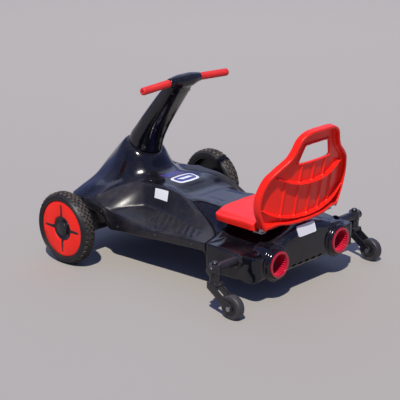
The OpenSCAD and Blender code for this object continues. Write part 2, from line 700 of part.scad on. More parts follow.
// Moves children, drawn with the wheel's outer side up, to a front wheel
module on_wheel(s) placed() on_side(s) translate([track_half, 0, wheel_r]) rotate([0, 90, 0]) children();
module tyre_front(s) {
    color([0.05, 0.05, 0.05]) on_wheel(s) rotate_extrude() polygon([
        [bead_r, -4], [bead_r + 4, 0], [bead_r + 12, 0], [wheel_r - 8, -3], [wheel_r - 3, -8],
        [wheel_r, -18], [wheel_r, 18 - tyre_w], [wheel_r - 3, 8 - tyre_w], [wheel_r - 8, 3 - tyre_w],
        [bead_r + 12, -tyre_w], [bead_r + 4, -tyre_w], [bead_r, 4 - tyre_w]
    ]);
}
rim_t = 4;
module rim_front(s) {
    color([0.05, 0.05, 0.05]) on_wheel(s) difference() {
        rotate_extrude() polygon([
            [axle_r + run_gap, -30], [24, -30], [24, -22], [bead_r - rim_t - seat_gap, -22],
            [bead_r - rim_t - seat_gap, 4 - tyre_w], [bead_r - seat_gap, 4 - tyre_w],
            [bead_r - seat_gap, -14], [axle_r + run_gap, -14]
        ]);
    }
}
disc_r = 43;
slot_end = bead_r - 16;
module wheel_cover(s) {
    color([0.9, 0.06, 0.03]) on_wheel(s) difference() {
        rotate_extrude() polygon([
            [disc_r, -13.7], [bead_r - seat_gap, -13.7], [bead_r - seat_gap, -6], [bead_r - 4, -4],
            [disc_r + 4, -4], [disc_r, -7]
        ]);
        for (a = [0:90:270]) rotate(a) translate([0, 0, -20]) linear_extrude(30)
            polygon([[0, -7], [disc_r, -6.5], [slot_end, -4], [slot_end + 3, 0], [slot_end, 4], [disc_r, 6.5], [0, 7]]);
    }
}
cap_r = 25;
module hub_cap(s) {
    color([0.03, 0.03, 0.03]) on_wheel(s) rotate_extrude() polygon([
        [0, -13.7], [disc_r - seat_gap, -13.7], [disc_r - seat_gap, -7], [disc_r - 2, -6],
        [cap_r + 4, -12], [cap_r, -12], [cap_r, -4], [cap_r - 3, -2], [0, -2]
    ]);
}

fork_gap = 2;
fork_t = 4;
neck_h = 26;
neck_r = 17;
crown_h = 14;
plate_r = 13;
module caster_fork(s) {
    neck_z = arm_z - arm_h / 2 - seat_gap;
    crown_z = neck_z - neck_h;
    half = caster_w / 2 + fork_gap + fork_t;
    color([0.05, 0.05, 0.05]) placed() on_side(s) translate([caster_x, caster_y, 0]) difference() {
        union() {
            translate([0, 0, crown_z - 1]) cylinder(r = neck_r, h = neck_h + 1);
            translate([-half, -neck_r, crown_z - crown_h]) cube([2 * half, 2 * neck_r, crown_h]);
            for (x = [-1, 1]) translate([x * (half - fork_t / 2) - fork_t / 2, 0, 0])
                rotate([90, 0, 90]) linear_extrude(fork_t) polygon(concat(
                    [[neck_r, crown_z], [-neck_r, crown_z], [-neck_r - 4, crown_z - crown_h]],
                    [for (a = [120:20:320]) [-trail + plate_r * cos(a), caster_r + plate_r * sin(a)]],
                    [[neck_r, crown_z - crown_h - 6]]));
        }
        translate([0, 0, arm_z - arm_h / 2 - bolt_in]) cylinder(r = swivel_r + run_gap, h = arm_h);
        translate([-50, -trail, caster_r]) rotate([0, 90, 0]) cylinder(r = 5 + run_gap, h = 100);
    }
}
bolt_in = 20;
nut_h = 9;
module swivel_bolt(s) {
    color([0.1, 0.1, 0.1]) placed() on_side(s) translate([caster_x, caster_y, 0]) {
        translate([0, 0, arm_z - arm_h / 2 - bolt_in + seat_gap]) cylinder(r = swivel_r, h = arm_h + bolt_in + 2);
        translate([0, 0, arm_z + arm_h / 2 + seat_gap]) rotate_extrude()
            polygon([[0, 0], [11, 0], [11, nut_h - 4], [9, nut_h - 1], [5, nut_h], [0, nut_h]]);
    }
}
module caster_axle(s) {
    color([0.7, 0.7, 0.72]) placed() on_side(s) translate([caster_x, caster_y - trail, caster_r])
        rotate([0, 90, 0]) {
            cylinder(r = 5, h = 2 * (caster_w / 2 + fork_gap + fork_t) + 1, center = true);
            for (m = [0, 1]) mirror([0, 0, m]) translate([0, 0, caster_w / 2 + fork_gap + fork_t + seat_gap]) cylinder(r = 8, h = 5);
        }
}
module on_caster(s) placed() on_side(s) translate([caster_x, caster_y - trail, caster_r]) rotate([0, 90, 0]) children();
caster_hub_r = 24;
module caster_tyre(s) {
    color([0.12, 0.12, 0.12]) on_caster(s) rotate_extrude() polygon([
        [caster_hub_r + seat_gap, -caster_w / 2], [caster_r - 3, -caster_w / 2], [caster_r, -caster_w / 2 + 4],
        [caster_r, caster_w / 2 - 4], [caster_r - 3, caster_w / 2], [caster_hub_r + seat_gap, caster_w / 2]
    ]);
}
module caster_hub(s) {
    color([0.3, 0.3, 0.3]) on_caster(s) rotate_extrude() polygon([
        [5 + run_gap, -caster_w / 2 - 1], [10, -caster_w / 2 - 1], [caster_hub_r, -caster_w / 2],
        [caster_hub_r, caster_w / 2], [10, caster_w / 2 + 1], [5 + run_gap, caster_w / 2 + 1]
    ]);
}

body_shell();
side_cover(-1);  // side_cover_left
side_cover(1);  // side_cover_right
chassis_frame();
battery_box();
battery_hatch();
arm(-1);  // rear_arm_left
arm(1);  // rear_arm_right
lamp_housing(-1);  // lamp_housing_left
lamp_housing(1);  // lamp_housing_right
lamp_ring(-1);  // lamp_ring_left
lamp_ring(1);  // lamp_ring_right
lamp_core(-1);  // lamp_core_left
lamp_core(1);  // lamp_core_right
seat_base();
seat_back();
seat_brackets();
steering_column();
grip(-1);  // grip_left
grip(1);  // grip_right
steering_shaft();
tie_rod();
knuckle(-1);  // knuckle_left
knuckle(1);  // knuckle_right
drive_unit(-1);  // drive_unit_left
drive_unit(1);  // drive_unit_right
tyre_front(-1);  // tyre_front_left
tyre_front(1);  // tyre_front_right
rim_front(-1);  // rim_front_left
rim_front(1);  // rim_front_right
wheel_cover(-1);  // wheel_cover_left
wheel_cover(1);  // wheel_cover_right
hub_cap(-1);  // hub_cap_left
hub_cap(1);  // hub_cap_right
caster_fork(-1);  // caster_fork_left
caster_fork(1);  // caster_fork_right
swivel_bolt(-1);  // swivel_bolt_left
swivel_bolt(1);  // swivel_bolt_right
caster_axle(-1);  // caster_axle_left
caster_axle(1);  // caster_axle_right
caster_tyre(-1);  // caster_tyre_left
caster_tyre(1);  // caster_tyre_right
caster_hub(-1);  // caster_hub_left
caster_hub(1);  // caster_hub_right
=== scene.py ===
"""Finishes and fine pieces of an electric drift kart, built around its CAD frame."""

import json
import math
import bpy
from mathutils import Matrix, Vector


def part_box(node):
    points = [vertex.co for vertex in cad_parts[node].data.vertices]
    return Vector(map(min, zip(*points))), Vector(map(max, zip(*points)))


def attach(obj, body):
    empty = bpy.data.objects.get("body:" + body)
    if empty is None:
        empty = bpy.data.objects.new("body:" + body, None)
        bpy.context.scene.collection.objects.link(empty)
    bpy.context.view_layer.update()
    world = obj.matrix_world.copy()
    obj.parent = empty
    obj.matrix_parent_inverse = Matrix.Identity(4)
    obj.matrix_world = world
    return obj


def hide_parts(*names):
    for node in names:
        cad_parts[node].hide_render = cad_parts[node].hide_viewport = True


bl_info = {
    "name": "Drift Kart Finish",
    "version": (1, 0, 0),
    "blender": (4, 5, 0),
    "location": "View3D > Sidebar > Kart",
    "description": "Builds the finishes and fine pieces of an electric drift kart",
    "category": "Add Mesh",
}

import bmesh
import bpy
from bpy.props import FloatProperty, FloatVectorProperty, PointerProperty
from mathutils import Matrix, Vector

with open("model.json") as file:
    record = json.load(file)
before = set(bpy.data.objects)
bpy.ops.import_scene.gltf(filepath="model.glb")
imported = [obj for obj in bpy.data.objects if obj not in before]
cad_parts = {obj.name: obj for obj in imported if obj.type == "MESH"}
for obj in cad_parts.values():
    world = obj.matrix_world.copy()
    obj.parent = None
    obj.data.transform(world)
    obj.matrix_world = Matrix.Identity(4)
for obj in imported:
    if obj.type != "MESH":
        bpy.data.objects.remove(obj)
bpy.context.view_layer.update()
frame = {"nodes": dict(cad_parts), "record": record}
SIDES = {"left": -1, "right": 1}
# Driving places, read from the frame, in metres
AXLE_Y = (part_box("tyre_front_left")[0][1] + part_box("tyre_front_left")[1][1]) / 2
WHEEL_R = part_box("tyre_front_left")[1][2] / 2
TYRE_IN = -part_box("tyre_front_left")[1][0]
TYRE_OUT = -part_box("tyre_front_left")[0][0]
MM = 0.001
# Points nearer than this are one point
MERGE = 1e-6


class KartSizes(bpy.types.PropertyGroup):
    """Sizes of the fine pieces"""

    tread_depth: FloatProperty(name="Tread depth", description="Height of a tyre's tread blocks",
                               default=0.003, min=0.001, max=0.004, subtype="DISTANCE")
    sticker_lift: FloatProperty(name="Sticker lift", description="Height of a sticker above its panel",
                                default=0.0005, min=0.0002, max=0.001, subtype="DISTANCE")


class KartColours(bpy.types.PropertyGroup):
    """Colours of the kart's finishes"""

    red: FloatVectorProperty(name="Red plastic", description="Seat and wheel covers", subtype="COLOR",
                             size=3, min=0, max=1, default=(0.82, 0.012, 0.004))
    black: FloatVectorProperty(name="Gloss black", description="Body shell and column", subtype="COLOR",
                               size=3, min=0, max=1, default=(0.002, 0.0025, 0.006))
    satin: FloatVectorProperty(name="Satin black", description="Side covers and small mouldings",
                               subtype="COLOR", size=3, min=0, max=1, default=(0.006, 0.006, 0.009))


# Shader groups

def new_group(name, inputs, outputs):
    """An empty shader group with its sockets, and its input and output nodes."""
    tree = bpy.data.node_groups.new(name, "ShaderNodeTree")
    for label, kind, default in inputs:
        socket = tree.interface.new_socket(label, in_out="INPUT", socket_type=kind)
        if default is not None:
            socket.default_value = default
    for label, kind in outputs:
        tree.interface.new_socket(label, in_out="OUTPUT", socket_type=kind)
    return tree, tree.nodes.new("NodeGroupInput"), tree.nodes.new("NodeGroupOutput")


def add_node(tree, kind, **values):
    """A node with its properties set; a key that names a socket sets that socket."""
    node = tree.nodes.new(kind)
    for key, value in values.items():
        if hasattr(node, key):
            setattr(node, key, value)
        else:
            node.inputs[key.replace("_", " ")].default_value = value
    return node


def feed(tree, socket, value):
    """Links an output to a socket, or sets the socket to a plain value."""
    if isinstance(value, bpy.types.NodeSocket):
        tree.links.new(value, socket)
    else:
        socket.default_value = value


def maths(tree, operation, *values, clamp=False):
    """Result of a math node over outputs and plain values."""
    node = add_node(tree, "ShaderNodeMath", operation=operation, use_clamp=clamp)
    for socket, value in zip(node.inputs, values):
        feed(tree, socket, value)
    return node.outputs["Value"]


def ramp(tree, source, low, high, low_value=0.0, high_value=1.0):
    """Mask made of a noise between low and high."""
    node = add_node(tree, "ShaderNodeMapRange")
    for socket, value in (("Value", source), ("From Min", low), ("From Max", high),
                          ("To Min", low_value), ("To Max", high_value)):
        feed(tree, node.inputs[socket], value)
    return node.outputs["Result"]


def mixed(tree, factor, a, b):
    """Colour between a and b."""
    node = add_node(tree, "ShaderNodeMix", data_type="RGBA")
    for socket, value in (("Factor", factor), ("A", a), ("B", b)):
        feed(tree, node.inputs[socket], value)
    return node.outputs["Result"]


def noise_over(tree, vector, scale, detail, rough):
    """Noise over a vector."""
    node = add_node(tree, "ShaderNodeTexNoise", Scale=scale, Detail=detail, Roughness=rough)
    feed(tree, node.inputs["Vector"], vector)
    return node.outputs["Fac"]


SCRATCH_COLOUR = (0.45, 0.45, 0.45, 1)


def wear_group():
    """Colour and roughness of a used surface: mottling, fine scratches and dust that settles on top."""
    tree, gin, gout = new_group(
        "used_surface",
        [("Vector", "NodeSocketVector", None), ("Base", "NodeSocketColor", (0.5, 0.5, 0.5, 1)),
         ("Dust", "NodeSocketColor", (0.35, 0.28, 0.22, 1)), ("Dust amount", "NodeSocketFloat", 0.1),
         ("Mottle", "NodeSocketFloat", 0.1), ("Scratch", "NodeSocketFloat", 0.1),
         ("Roughness", "NodeSocketFloat", 0.3), ("Roughness spread", "NodeSocketFloat", 0.1)],
        [("Color", "NodeSocketColor"), ("Roughness", "NodeSocketFloat")],
    )
    given = gin.outputs
    broad = noise_over(tree, given["Vector"], 9.0, 5.0, 0.6)
    fine = noise_over(tree, given["Vector"], 160.0, 3.0, 0.7)
    stretch = tree.nodes.new("ShaderNodeMapping")
    for socket, value in (("Vector", given["Vector"]), ("Rotation", (0.3, 0.5, 0.7)),
                          ("Scale", (18, 420, 260))):
        feed(tree, stretch.inputs[socket], value)
    lines = noise_over(tree, stretch.outputs["Vector"], 1.0, 2.0, 0.5)
    # Mottling makes the base a little lighter and darker
    mottle = ramp(tree, broad, 0.3, 0.7, -1.0, 1.0)
    shaded = add_node(tree, "ShaderNodeVectorMath", operation="SCALE")
    feed(tree, shaded.inputs[0], given["Base"])
    feed(tree, shaded.inputs["Scale"], maths(tree, "MULTIPLY_ADD", mottle, given["Mottle"], 1.0))
    # Scratches are thin bright lines
    scratch = maths(tree, "MULTIPLY", ramp(tree, lines, 0.66, 0.72), given["Scratch"])
    marked = mixed(tree, scratch, shaded.outputs["Vector"], SCRATCH_COLOUR)
    # Dust lies where the surface faces up and the broad noise is high
    up = tree.nodes.new("ShaderNodeSeparateXYZ")
    feed(tree, up.inputs["Vector"], tree.nodes.new("ShaderNodeNewGeometry").outputs["Normal"])
    facing = ramp(tree, up.outputs["Z"], -0.2, 1.0, 0.25, 1.0)
    patches, specks = ramp(tree, broad, 0.42, 0.75), ramp(tree, fine, 0.45, 0.7)
    settled = maths(tree, "MULTIPLY", maths(tree, "MULTIPLY_ADD", specks, 0.6, patches), facing)
    dust = maths(tree, "MULTIPLY", settled, given["Dust amount"], clamp=True)
    feed(tree, gout.inputs["Color"], mixed(tree, dust, marked, given["Dust"]))
    # Roughness follows the mottling, and rises under dust and scratches
    rough = maths(tree, "MULTIPLY_ADD", mottle, given["Roughness spread"], given["Roughness"])
    rough = maths(tree, "MULTIPLY_ADD", dust, 0.6, rough)
    rough = maths(tree, "MULTIPLY_ADD", scratch, 0.5, rough, clamp=True)
    feed(tree, gout.inputs["Roughness"], rough)
    return tree


def grain_group():
    """Moulded grain: a fine bump with a slow waviness under it."""
    tree, gin, gout = new_group(
        "moulded_grain",
        [("Vector", "NodeSocketVector", None), ("Grain scale", "NodeSocketFloat", 900.0),
         ("Grain", "NodeSocketFloat", 0.2), ("Wave scale", "NodeSocketFloat", 30.0),
         ("Wave", "NodeSocketFloat", 0.05)],
        [("Normal", "NodeSocketVector")],
    )
    given, last = gin.outputs, None
    layers = (("Wave", "Wave scale", 2.0, 0.004), ("Grain", "Grain scale", 3.0, 0.0004))
    for strength, scale, detail, depth in layers:
        noise = add_node(tree, "ShaderNodeTexNoise", Detail=detail)
        feed(tree, noise.inputs["Vector"], given["Vector"])
        feed(tree, noise.inputs["Scale"], given[scale])
        bump = add_node(tree, "ShaderNodeBump", Distance=depth)
        feed(tree, bump.inputs["Strength"], given[strength])
        feed(tree, bump.inputs["Height"], noise.outputs["Fac"])
        if last:
            feed(tree, bump.inputs["Normal"], last)
        last = bump.outputs["Normal"]
    feed(tree, gout.inputs["Normal"], last)
    return tree


# Node groups and materials made so far
GROUPS = {}
MATS = {}
DUST_COLOUR, COAT_ROUGH = (0.36, 0.29, 0.23, 1), 0.05


def finish(name, base, rough, spread=0.05, metal=0.0, dust=0.05, mottle=0.08, scratch=0.1, grain=0.15,
           grain_scale=900.0, wave=0.0, wave_scale=30.0, coat=0.0, specular=0.5):
    """A Principled material with the shared wear and grain."""
    if not GROUPS:
        GROUPS["wear"] = wear_group()
        GROUPS["grain"] = grain_group()
    mat = bpy.data.materials.new(name)
    mat.use_nodes = True
    tree = mat.node_tree
    shader = tree.nodes["Principled BSDF"]
    for socket, value in (("Metallic", metal), ("Coat Weight", coat), ("Coat Roughness", COAT_ROUGH),
                          ("Specular IOR Level", specular)):
        shader.inputs[socket].default_value = value
    place = tree.nodes.new("ShaderNodeTexCoord")
    wear = tree.nodes.new("ShaderNodeGroup")
    wear.node_tree = GROUPS["wear"]
    for socket, value in (("Base", (*base, 1)), ("Dust", DUST_COLOUR), ("Dust amount", dust),
                          ("Mottle", mottle), ("Scratch", scratch), ("Roughness", rough),
                          ("Roughness spread", spread)):
        wear.inputs[socket].default_value = value
    skin = tree.nodes.new("ShaderNodeGroup")
    skin.node_tree = GROUPS["grain"]
    for socket, value in (("Grain scale", grain_scale), ("Grain", grain), ("Wave scale", wave_scale),
                          ("Wave", wave)):
        skin.inputs[socket].default_value = value
    for group in (wear, skin):
        tree.links.new(place.outputs["Object"], group.inputs["Vector"])
    tree.links.new(wear.outputs["Color"], shader.inputs["Base Color"])
    tree.links.new(wear.outputs["Roughness"], shader.inputs["Roughness"])
    tree.links.new(skin.outputs["Normal"], shader.inputs["Normal"])
    return mat


# Finish: base colour, or the colour property that gives it, roughness and other values
FINISHES = {
    "gloss_black": ("black", 0.13, dict(dust=0.04, scratch=0.06, grain=0.02, wave=0.05, wave_scale=14.0,
                                        coat=0.15, specular=0.4)),
    "satin_black": ("satin", 0.33, dict(spread=0.06, dust=0.07, grain=0.3, grain_scale=1400.0,
                                        specular=0.45)),
    "battery_case": ((0.04, 0.04, 0.04), 0.6, dict(grain=0.3)),
    "black_steel": ((0.006, 0.006, 0.009), 0.27, dict(spread=0.08, scratch=0.2, grain=0.25,
                                                      grain_scale=500.0, coat=0.1)),
    "zinc_steel": ((0.36, 0.36, 0.37), 0.40, dict(spread=0.1, metal=1.0, mottle=0.15, scratch=0.3,
                                                  grain=0.2)),
    "red_plastic": ("red", 0.36, dict(dust=0.02, mottle=0.05, scratch=0.05, grain=0.12,
                                      grain_scale=1100.0, wave=0.02, specular=0.35)),
    "red_rubber": ((0.62, 0.014, 0.014), 0.5, dict(spread=0.06, mottle=0.1, grain=0.4)),
    "tyre_rubber": ((0.008, 0.008, 0.010), 0.48, dict(spread=0.08, mottle=0.2, scratch=0.04, grain=0.35,
                                                      grain_scale=700.0, specular=0.4)),
    "tread_rubber": ((0.014, 0.013, 0.013), 0.7, dict(spread=0.08, dust=0.4, mottle=0.25, scratch=0.04,
                                                      grain=0.5, grain_scale=700.0, specular=0.3)),
    "caster_rubber": ((0.022, 0.022, 0.027), 0.5, dict(spread=0.08, dust=0.12, mottle=0.25, scratch=0.2,
                                                       grain=0.3)),
    "badge_white": ((0.72, 0.73, 0.76), 0.3, dict(dust=0.08, mottle=0.04, scratch=0.2, grain=0.1)),
    "badge_blue": ((0.012, 0.03, 0.20), 0.28, dict(mottle=0.06, scratch=0.15, grain=0.1)),
    "badge_purple": ((0.045, 0.02, 0.13), 0.28, dict(mottle=0.06, scratch=0.15, grain=0.1)),
    "plate_white": ((0.62, 0.63, 0.66), 0.35, dict(dust=0.12, mottle=0.06, scratch=0.25, grain=0.15)),
    "zinc_dark": ((0.10, 0.10, 0.105), 0.38, dict(spread=0.1, metal=1.0, mottle=0.15, scratch=0.3,
                                                  grain=0.2)),
    # Lamp ribs: a lighter red than the lamp, a painted highlight on the ribs
    "lamp_rib": ((0.75, 0.02, 0.07), 0.2, dict(dust=0.02, grain=0.05, coat=0.5)),
    "lamp_red": ((0.34, 0.003, 0.018), 0.12, dict(spread=0.04, dust=0.03, grain=0.03, coat=0.5)),
}


def make_finishes(colours):
    """Every finish of the kart, by the record's slot name or by the piece's own name."""
    for name, (base, rough, values) in FINISHES.items():
        colour = tuple(getattr(colours, base)) if isinstance(base, str) else base
        MATS[name] = finish(name, colour, rough, **values)


# Mesh helpers

def metres(x, y, z):
    """A point in the frame, from its millimetres right of the middle, ahead of the axle and up."""
    return x * MM, y * MM + AXLE_Y, z * MM


def placed(x, y, z, turn):
    """Matrix that turns a shape about X and puts it at a point in millimetres."""
    return Matrix.Translation(metres(x, y, z)) @ Matrix.Rotation(turn, 4, "X")


def mesh_of(bm, name):
    """The mesh of a bmesh, which is freed."""
    mesh = bpy.data.meshes.new(name)
    bm.to_mesh(mesh)
    bm.free()
    return mesh


def merged(name, meshes):
    """One mesh out of several."""
    bm = bmesh.new()
    for mesh in meshes:
        bm.from_mesh(mesh)
    return mesh_of(bm, name)


def new_piece(name, mesh, mat, body, *replaced):
    """Puts a finished mesh in the scene, on its body, in place of its CAD nodes."""
    obj = bpy.data.objects.new(name, mesh)
    bpy.context.scene.collection.objects.link(obj)
    mesh.materials.clear()
    mesh.materials.append(MATS[mat])
    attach(obj, body)
    if replaced:
        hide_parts(*replaced)


def shade(mesh, angle):
    """Smooth shading, with sharp edges where faces meet at more than an angle in degrees."""
    mesh.shade_smooth()
    mesh.set_sharp_from_angle(angle=math.radians(angle))


def body_of_node(node):
    """Name of the body that carries a CAD node."""
    for body, nodes in frame["record"]["behaviour"]["bodies"].items():
        if node in nodes:
            return body
    raise ValueError(node)


def slot_of_node(node):
    """Finish that the record gives a CAD node."""
    for sub in frame["record"]["subparts"]:
        if sub["node"] == node:
            return sub["material_slot"]
    raise ValueError(node)


def cad_mesh(node):
    """A merged copy of a CAD node's mesh, with its flat faces whole."""
    bm = bmesh.new()
    bm.from_mesh(frame["nodes"][node].data)
    bmesh.ops.remove_doubles(bm, verts=bm.verts, dist=MERGE)
    bmesh.ops.dissolve_limit(bm, angle_limit=FLAT_ENOUGH, verts=bm.verts, edges=bm.edges)
    return bm


def soften(node, width):
    """A copy of a CAD node with its sharp edges rounded, in the node's place."""
    bm = cad_mesh(node)
    sharp = [e for e in bm.edges if len(e.link_faces) == 2 and e.calc_face_angle(0) > SHARP_EDGE]
    bmesh.ops.bevel(bm, geom=sharp, offset=width, segments=2, affect="EDGES", profile=0.6,
                    clamp_overlap=True)
    bmesh.ops.triangulate(bm, faces=[f for f in bm.faces if len(f.verts) > 4])
    mesh = mesh_of(bm, node + "_finished")
    shade(mesh, 30)
    new_piece(node + "_finished", mesh, slot_of_node(node), body_of_node(node), node)


SHARP_EDGE, FLAT_ENOUGH = math.radians(35), math.radians(0.6)
# CAD nodes with rounded edges, and the radius in millimetres
SOFTENED = (
    ("chassis_frame", 1.5), ("battery_hatch", 1.0), ("rear_arm_left", 0.9), ("rear_arm_right", 0.9),
    ("lamp_housing_left", 2.0), ("lamp_housing_right", 2.0), ("lamp_core_left", 1.0),
    ("lamp_core_right", 1.0), ("seat_brackets", 0.5), ("knuckle_left", 1.0),
    ("knuckle_right", 1.0), ("drive_unit_left", 2.0), ("drive_unit_right", 2.0),
    ("wheel_cover_left", 1.0), ("wheel_cover_right", 1.0), ("hub_cap_left", 0.8),
    ("hub_cap_right", 0.8), ("caster_fork_left", 0.9), ("caster_fork_right", 0.9),
    ("caster_tyre_left", 1.5), ("caster_tyre_right", 1.5), ("caster_hub_left", 0.6),
    ("caster_hub_right", 0.6), ("tie_rod", 0.8),
)


# Body surfaces: the same sections as the CAD, in millimetres from the front axle

SHELL = (
    (168, 70, 196, 195, 190, 182, 168), (158, 130, 236, 232, 222, 205, 180),
    (142, 190, 249, 245, 233, 214, 188), (120, 236, 256, 252, 243, 226, 204),
    (80, 262, 262, 258, 250, 234, 210), (40, 271, 266, 262, 256, 240, 212),
    (22, 269, 267, 264, 257, 241, 212), (5, 262, 268, 265, 259, 243, 216),
    (-30, 245, 271, 268, 262, 248, 226), (-55, 175, 273, 271, 267, 258, 243),
    (-80, 130, 275, 274, 271, 264, 252), (-120, 110, 277, 276, 274, 268, 260),
    (-190, 110, 275, 275, 273, 270, 267), (-250, 110, 269, 269, 267, 265, 268),
    (-278, 110, 255, 255, 254, 256, 264), (-300, 111, 246, 246, 246, 248, 258),
    (-360, 112, 245, 245, 245, 244, 238), (-415, 120, 245, 245, 245, 240, 213),
    (-480, 140, 244, 244, 244, 236, 186), (-535, 185, 236, 236, 234, 196, 171),
    (-560, 255, 231, 230, 196, 178, 175), (-585, 262, 230, 230, 184, 178, 177),
    (-663, 257, 229, 228, 182, 177, 175), (-710, 257, 229, 226, 186, 177, 168),
    (-745, 257, 237, 222, 204, 182, 166), (-768, 254, 228, 217, 200, 177, 160),
    (-778, 248, 208, 201, 186, 166, 150), (-782, 240, 190, 186, 172, 154, 140),
)
COVER = (
    (22, 270.3, 211.8, 271.4, 211.4, 272.3, 210.6, 273, 209),
    (5, 265, 215, 269, 212.5, 271.5, 209, 273, 205), (-30, 252, 225, 262, 217, 268, 208, 273, 201),
    (-58, 192, 246, 262, 210, 268.5, 203, 273, 196), (-82, 162, 257, 262, 200, 269, 192, 273, 186),
    (-92, 156, 262, 258, 198, 266, 188, 273, 168), (-109, 150, 266, 246, 196, 263, 184, 273, 152),
    (-147, 150, 272, 200, 199, 261, 181, 272, 153), (-182, 145, 271, 166, 200, 260, 178, 271, 155),
    (-269, 135, 270, 157, 193, 257, 169, 269, 158), (-330, 130, 256, 165, 189, 254, 166, 267, 163),
    (-415, 134, 214, 178, 184, 252, 171, 265, 168), (-480, 152, 190, 190, 181, 250, 174, 264, 172),
    (-535, 192, 177, 205, 177, 250, 176, 263, 175),
    (-560, 257, 176.5, 259, 176.3, 261, 176, 262.5, 175.5),
)
# Ends of the shell and of the side covers, and front of the battery's tub
NOSE_Y, TAIL_Y, COVER_FRONT, COVER_REAR, TUB_FRONT = 168, -782, 22, -560, -540
# Heights of the belly and of the tub's floor, and depth of the covers' skirt
BELLY_Z, TUB_Z, SKIRT_H = 120, 80, 30
# Collar round the steering column, and its lean
COLLAR_Y, COLLAR_Z, COLLAR_R, RAKE = -18, 365, 63, math.radians(26)
# Tail lamps: middle, rear, radius of the housing and front of its pocket
LAMP_X, LAMP_Z, LAMP_Y, BULGE_R, POCKET_Y = 161, 132, -798, 56, -722
# Rise of the belly at the nose and at the tail, and lengths of its ramps
NOSE_RISE, TAIL_RISE, END_RAMP, TUB_RAMP = 8, 12, 20, 45
# Half width and reach of the neck's flare, ahead of the collar and behind it
FLARE_AHEAD, FLARE_BEHIND = (52, 118), (39, 31)
# Humps over the lamps: front, length of their ramp, radius and softness of their join
HUMP_Y, HUMP_RAMP, HUMP_R, HUMP_BLEND = -690, 30, 64, 32
# Radii of the seam, the ends, the lower edges and the covers' rim
SEAM_ROLL, END_ROUND, LOW_ROUND, RIM_ROUND = 2.5, 7, 5, 3
# Heights of the points that round a lower edge
LOW_STEPS = (5, 3, 1.4, 0.4, 0)
# Distance between stations
SHELL_STEP, COVER_STEP, SEAT_STEP = 5, 2.5, 3
# Ribs on the footwells' floors, with their margin as a share of the floor's width
RIBS_FRONT, RIBS_REAR, RIB_PITCH, RIB_SLANT = -262, -500, 25, 0.6
RIB_SHARE, RIB_H, RIB_FADE, RIB_MARGIN = 0.2, 3.4, 10, 0.1


def hermite(s, p0, p1, m0, m1):
    """Value at s of a smooth step from p0 to p1 with slopes m0 and m1."""
    return (p0 * (2 * s**3 - 3 * s**2 + 1) + m0 * (s**3 - 2 * s**2 + s)
            + p1 * (3 * s**2 - 2 * s**3) + m1 * (s**3 - s**2))


def row_at(table, y):
    """Every column of a table at y, smoothly between its rows, which fall in y."""
    i = 0
    while i < len(table) - 2 and y < table[i + 1][0]:
        i += 1
    step = table[i + 1][0] - table[i][0]

    def slope(k, c):
        a, b = max(k - 1, 0), min(k + 1, len(table) - 1)
        return (table[b][c] - table[a][c]) / (table[b][0] - table[a][0]) * step

    s = (y - table[i][0]) / step
    return [hermite(s, table[i][c], table[i + 1][c], slope(i, c), slope(i + 1, c))
            for c in range(1, len(table[0]))]


def belly(y):
    """Height of the underside, with the battery's tub and both ends turned up."""
    if y > TUB_FRONT:
        return BELLY_Z + NOSE_RISE * max(0, (y - NOSE_Y) / END_RAMP + 1)
    tub = max(TUB_Z, BELLY_Z + (y - TUB_FRONT) / TUB_RAMP * (BELLY_Z - TUB_Z))
    return tub + TAIL_RISE * max(0, (TAIL_Y - y) / END_RAMP + 1)


def shell_height(x, y, row=None):
    """Height of the glossy shell's top, with the neck round the collar and the humps over the lamps."""
    row = row or row_at(SHELL, y)
    f = min(abs(x) / row[0], 1)
    q = min(int(f * 4), 3)
    p = [row[1 + k] for k in (max(q - 1, 0), q, q + 1, min(q + 2, 4))]
    before = p[2] if q == 0 else p[0]
    z = hermite(f * 4 - q, p[1], p[2], (p[2] - before) / 2, (p[3] - p[1]) / (1 if q == 3 else 2))
    dy = (y - COLLAR_Y) / math.cos(RAKE)
    r = math.hypot(x, dy)
    d = max(0, r - COLLAR_R)
    ex, ey = d * x / max(r, 1), d * dy / max(r, 1)
    side, reach = FLARE_AHEAD if ey > 0 else FLARE_BEHIND
    rim_y = y if d <= 0 else (COLLAR_Y + min(max(dy, -COLLAR_R), COLLAR_R) * math.cos(RAKE)
                              * min(1, COLLAR_R / max(r, 1)))
    plane = COLLAR_Z + (rim_y - COLLAR_Y) * math.tan(RAKE)
    z += (plane - z) * math.exp(-(ex / side)**2 - (ey / reach)**2)
    if y < HUMP_Y:
        fade = min((HUMP_Y - y) / HUMP_RAMP, 1)
        across = min(abs(abs(x) - LAMP_X), 0.8 * HUMP_R)
        tube = (LAMP_Z + math.sqrt(HUMP_R**2 - across**2)) * fade**2 * (3 - 2 * fade)
        near = max(0, 1 - abs(z - tube) / 20)
        z = (z + tube + math.sqrt((z - tube)**2 + HUMP_BLEND)) / 2 - 8 / 3 * near
    return z


def rolled(distance, radius):
    """How far an edge of that radius falls away at a distance from it."""
    t = min(max(radius - distance, 0), radius)
    return radius - math.sqrt(radius**2 - t**2)


def stations(start, end, step):
    """Stations from start down to end, closer together at both ends."""
    close, margin = (0, 0.3, 0.9, 1.8, 3, 4.6, 6.6), 7
    count = max(2, round((start - end - 2 * margin) / step))
    middle = [start - margin - i * (start - end - 2 * margin) / count for i in range(count + 1)]
    return [start - c for c in close] + middle + [end + c for c in reversed(close)]


def crowded(count, crowding):
    """Shares from -1 to 1, closer together at both ends."""
    return [math.sin(crowding * i / count) / math.sin(crowding) for i in range(-count, count + 1)]


def mirrored(points):
    """The other side's points, in reverse."""
    return [(-x, *rest) for x, *rest in reversed(points)]


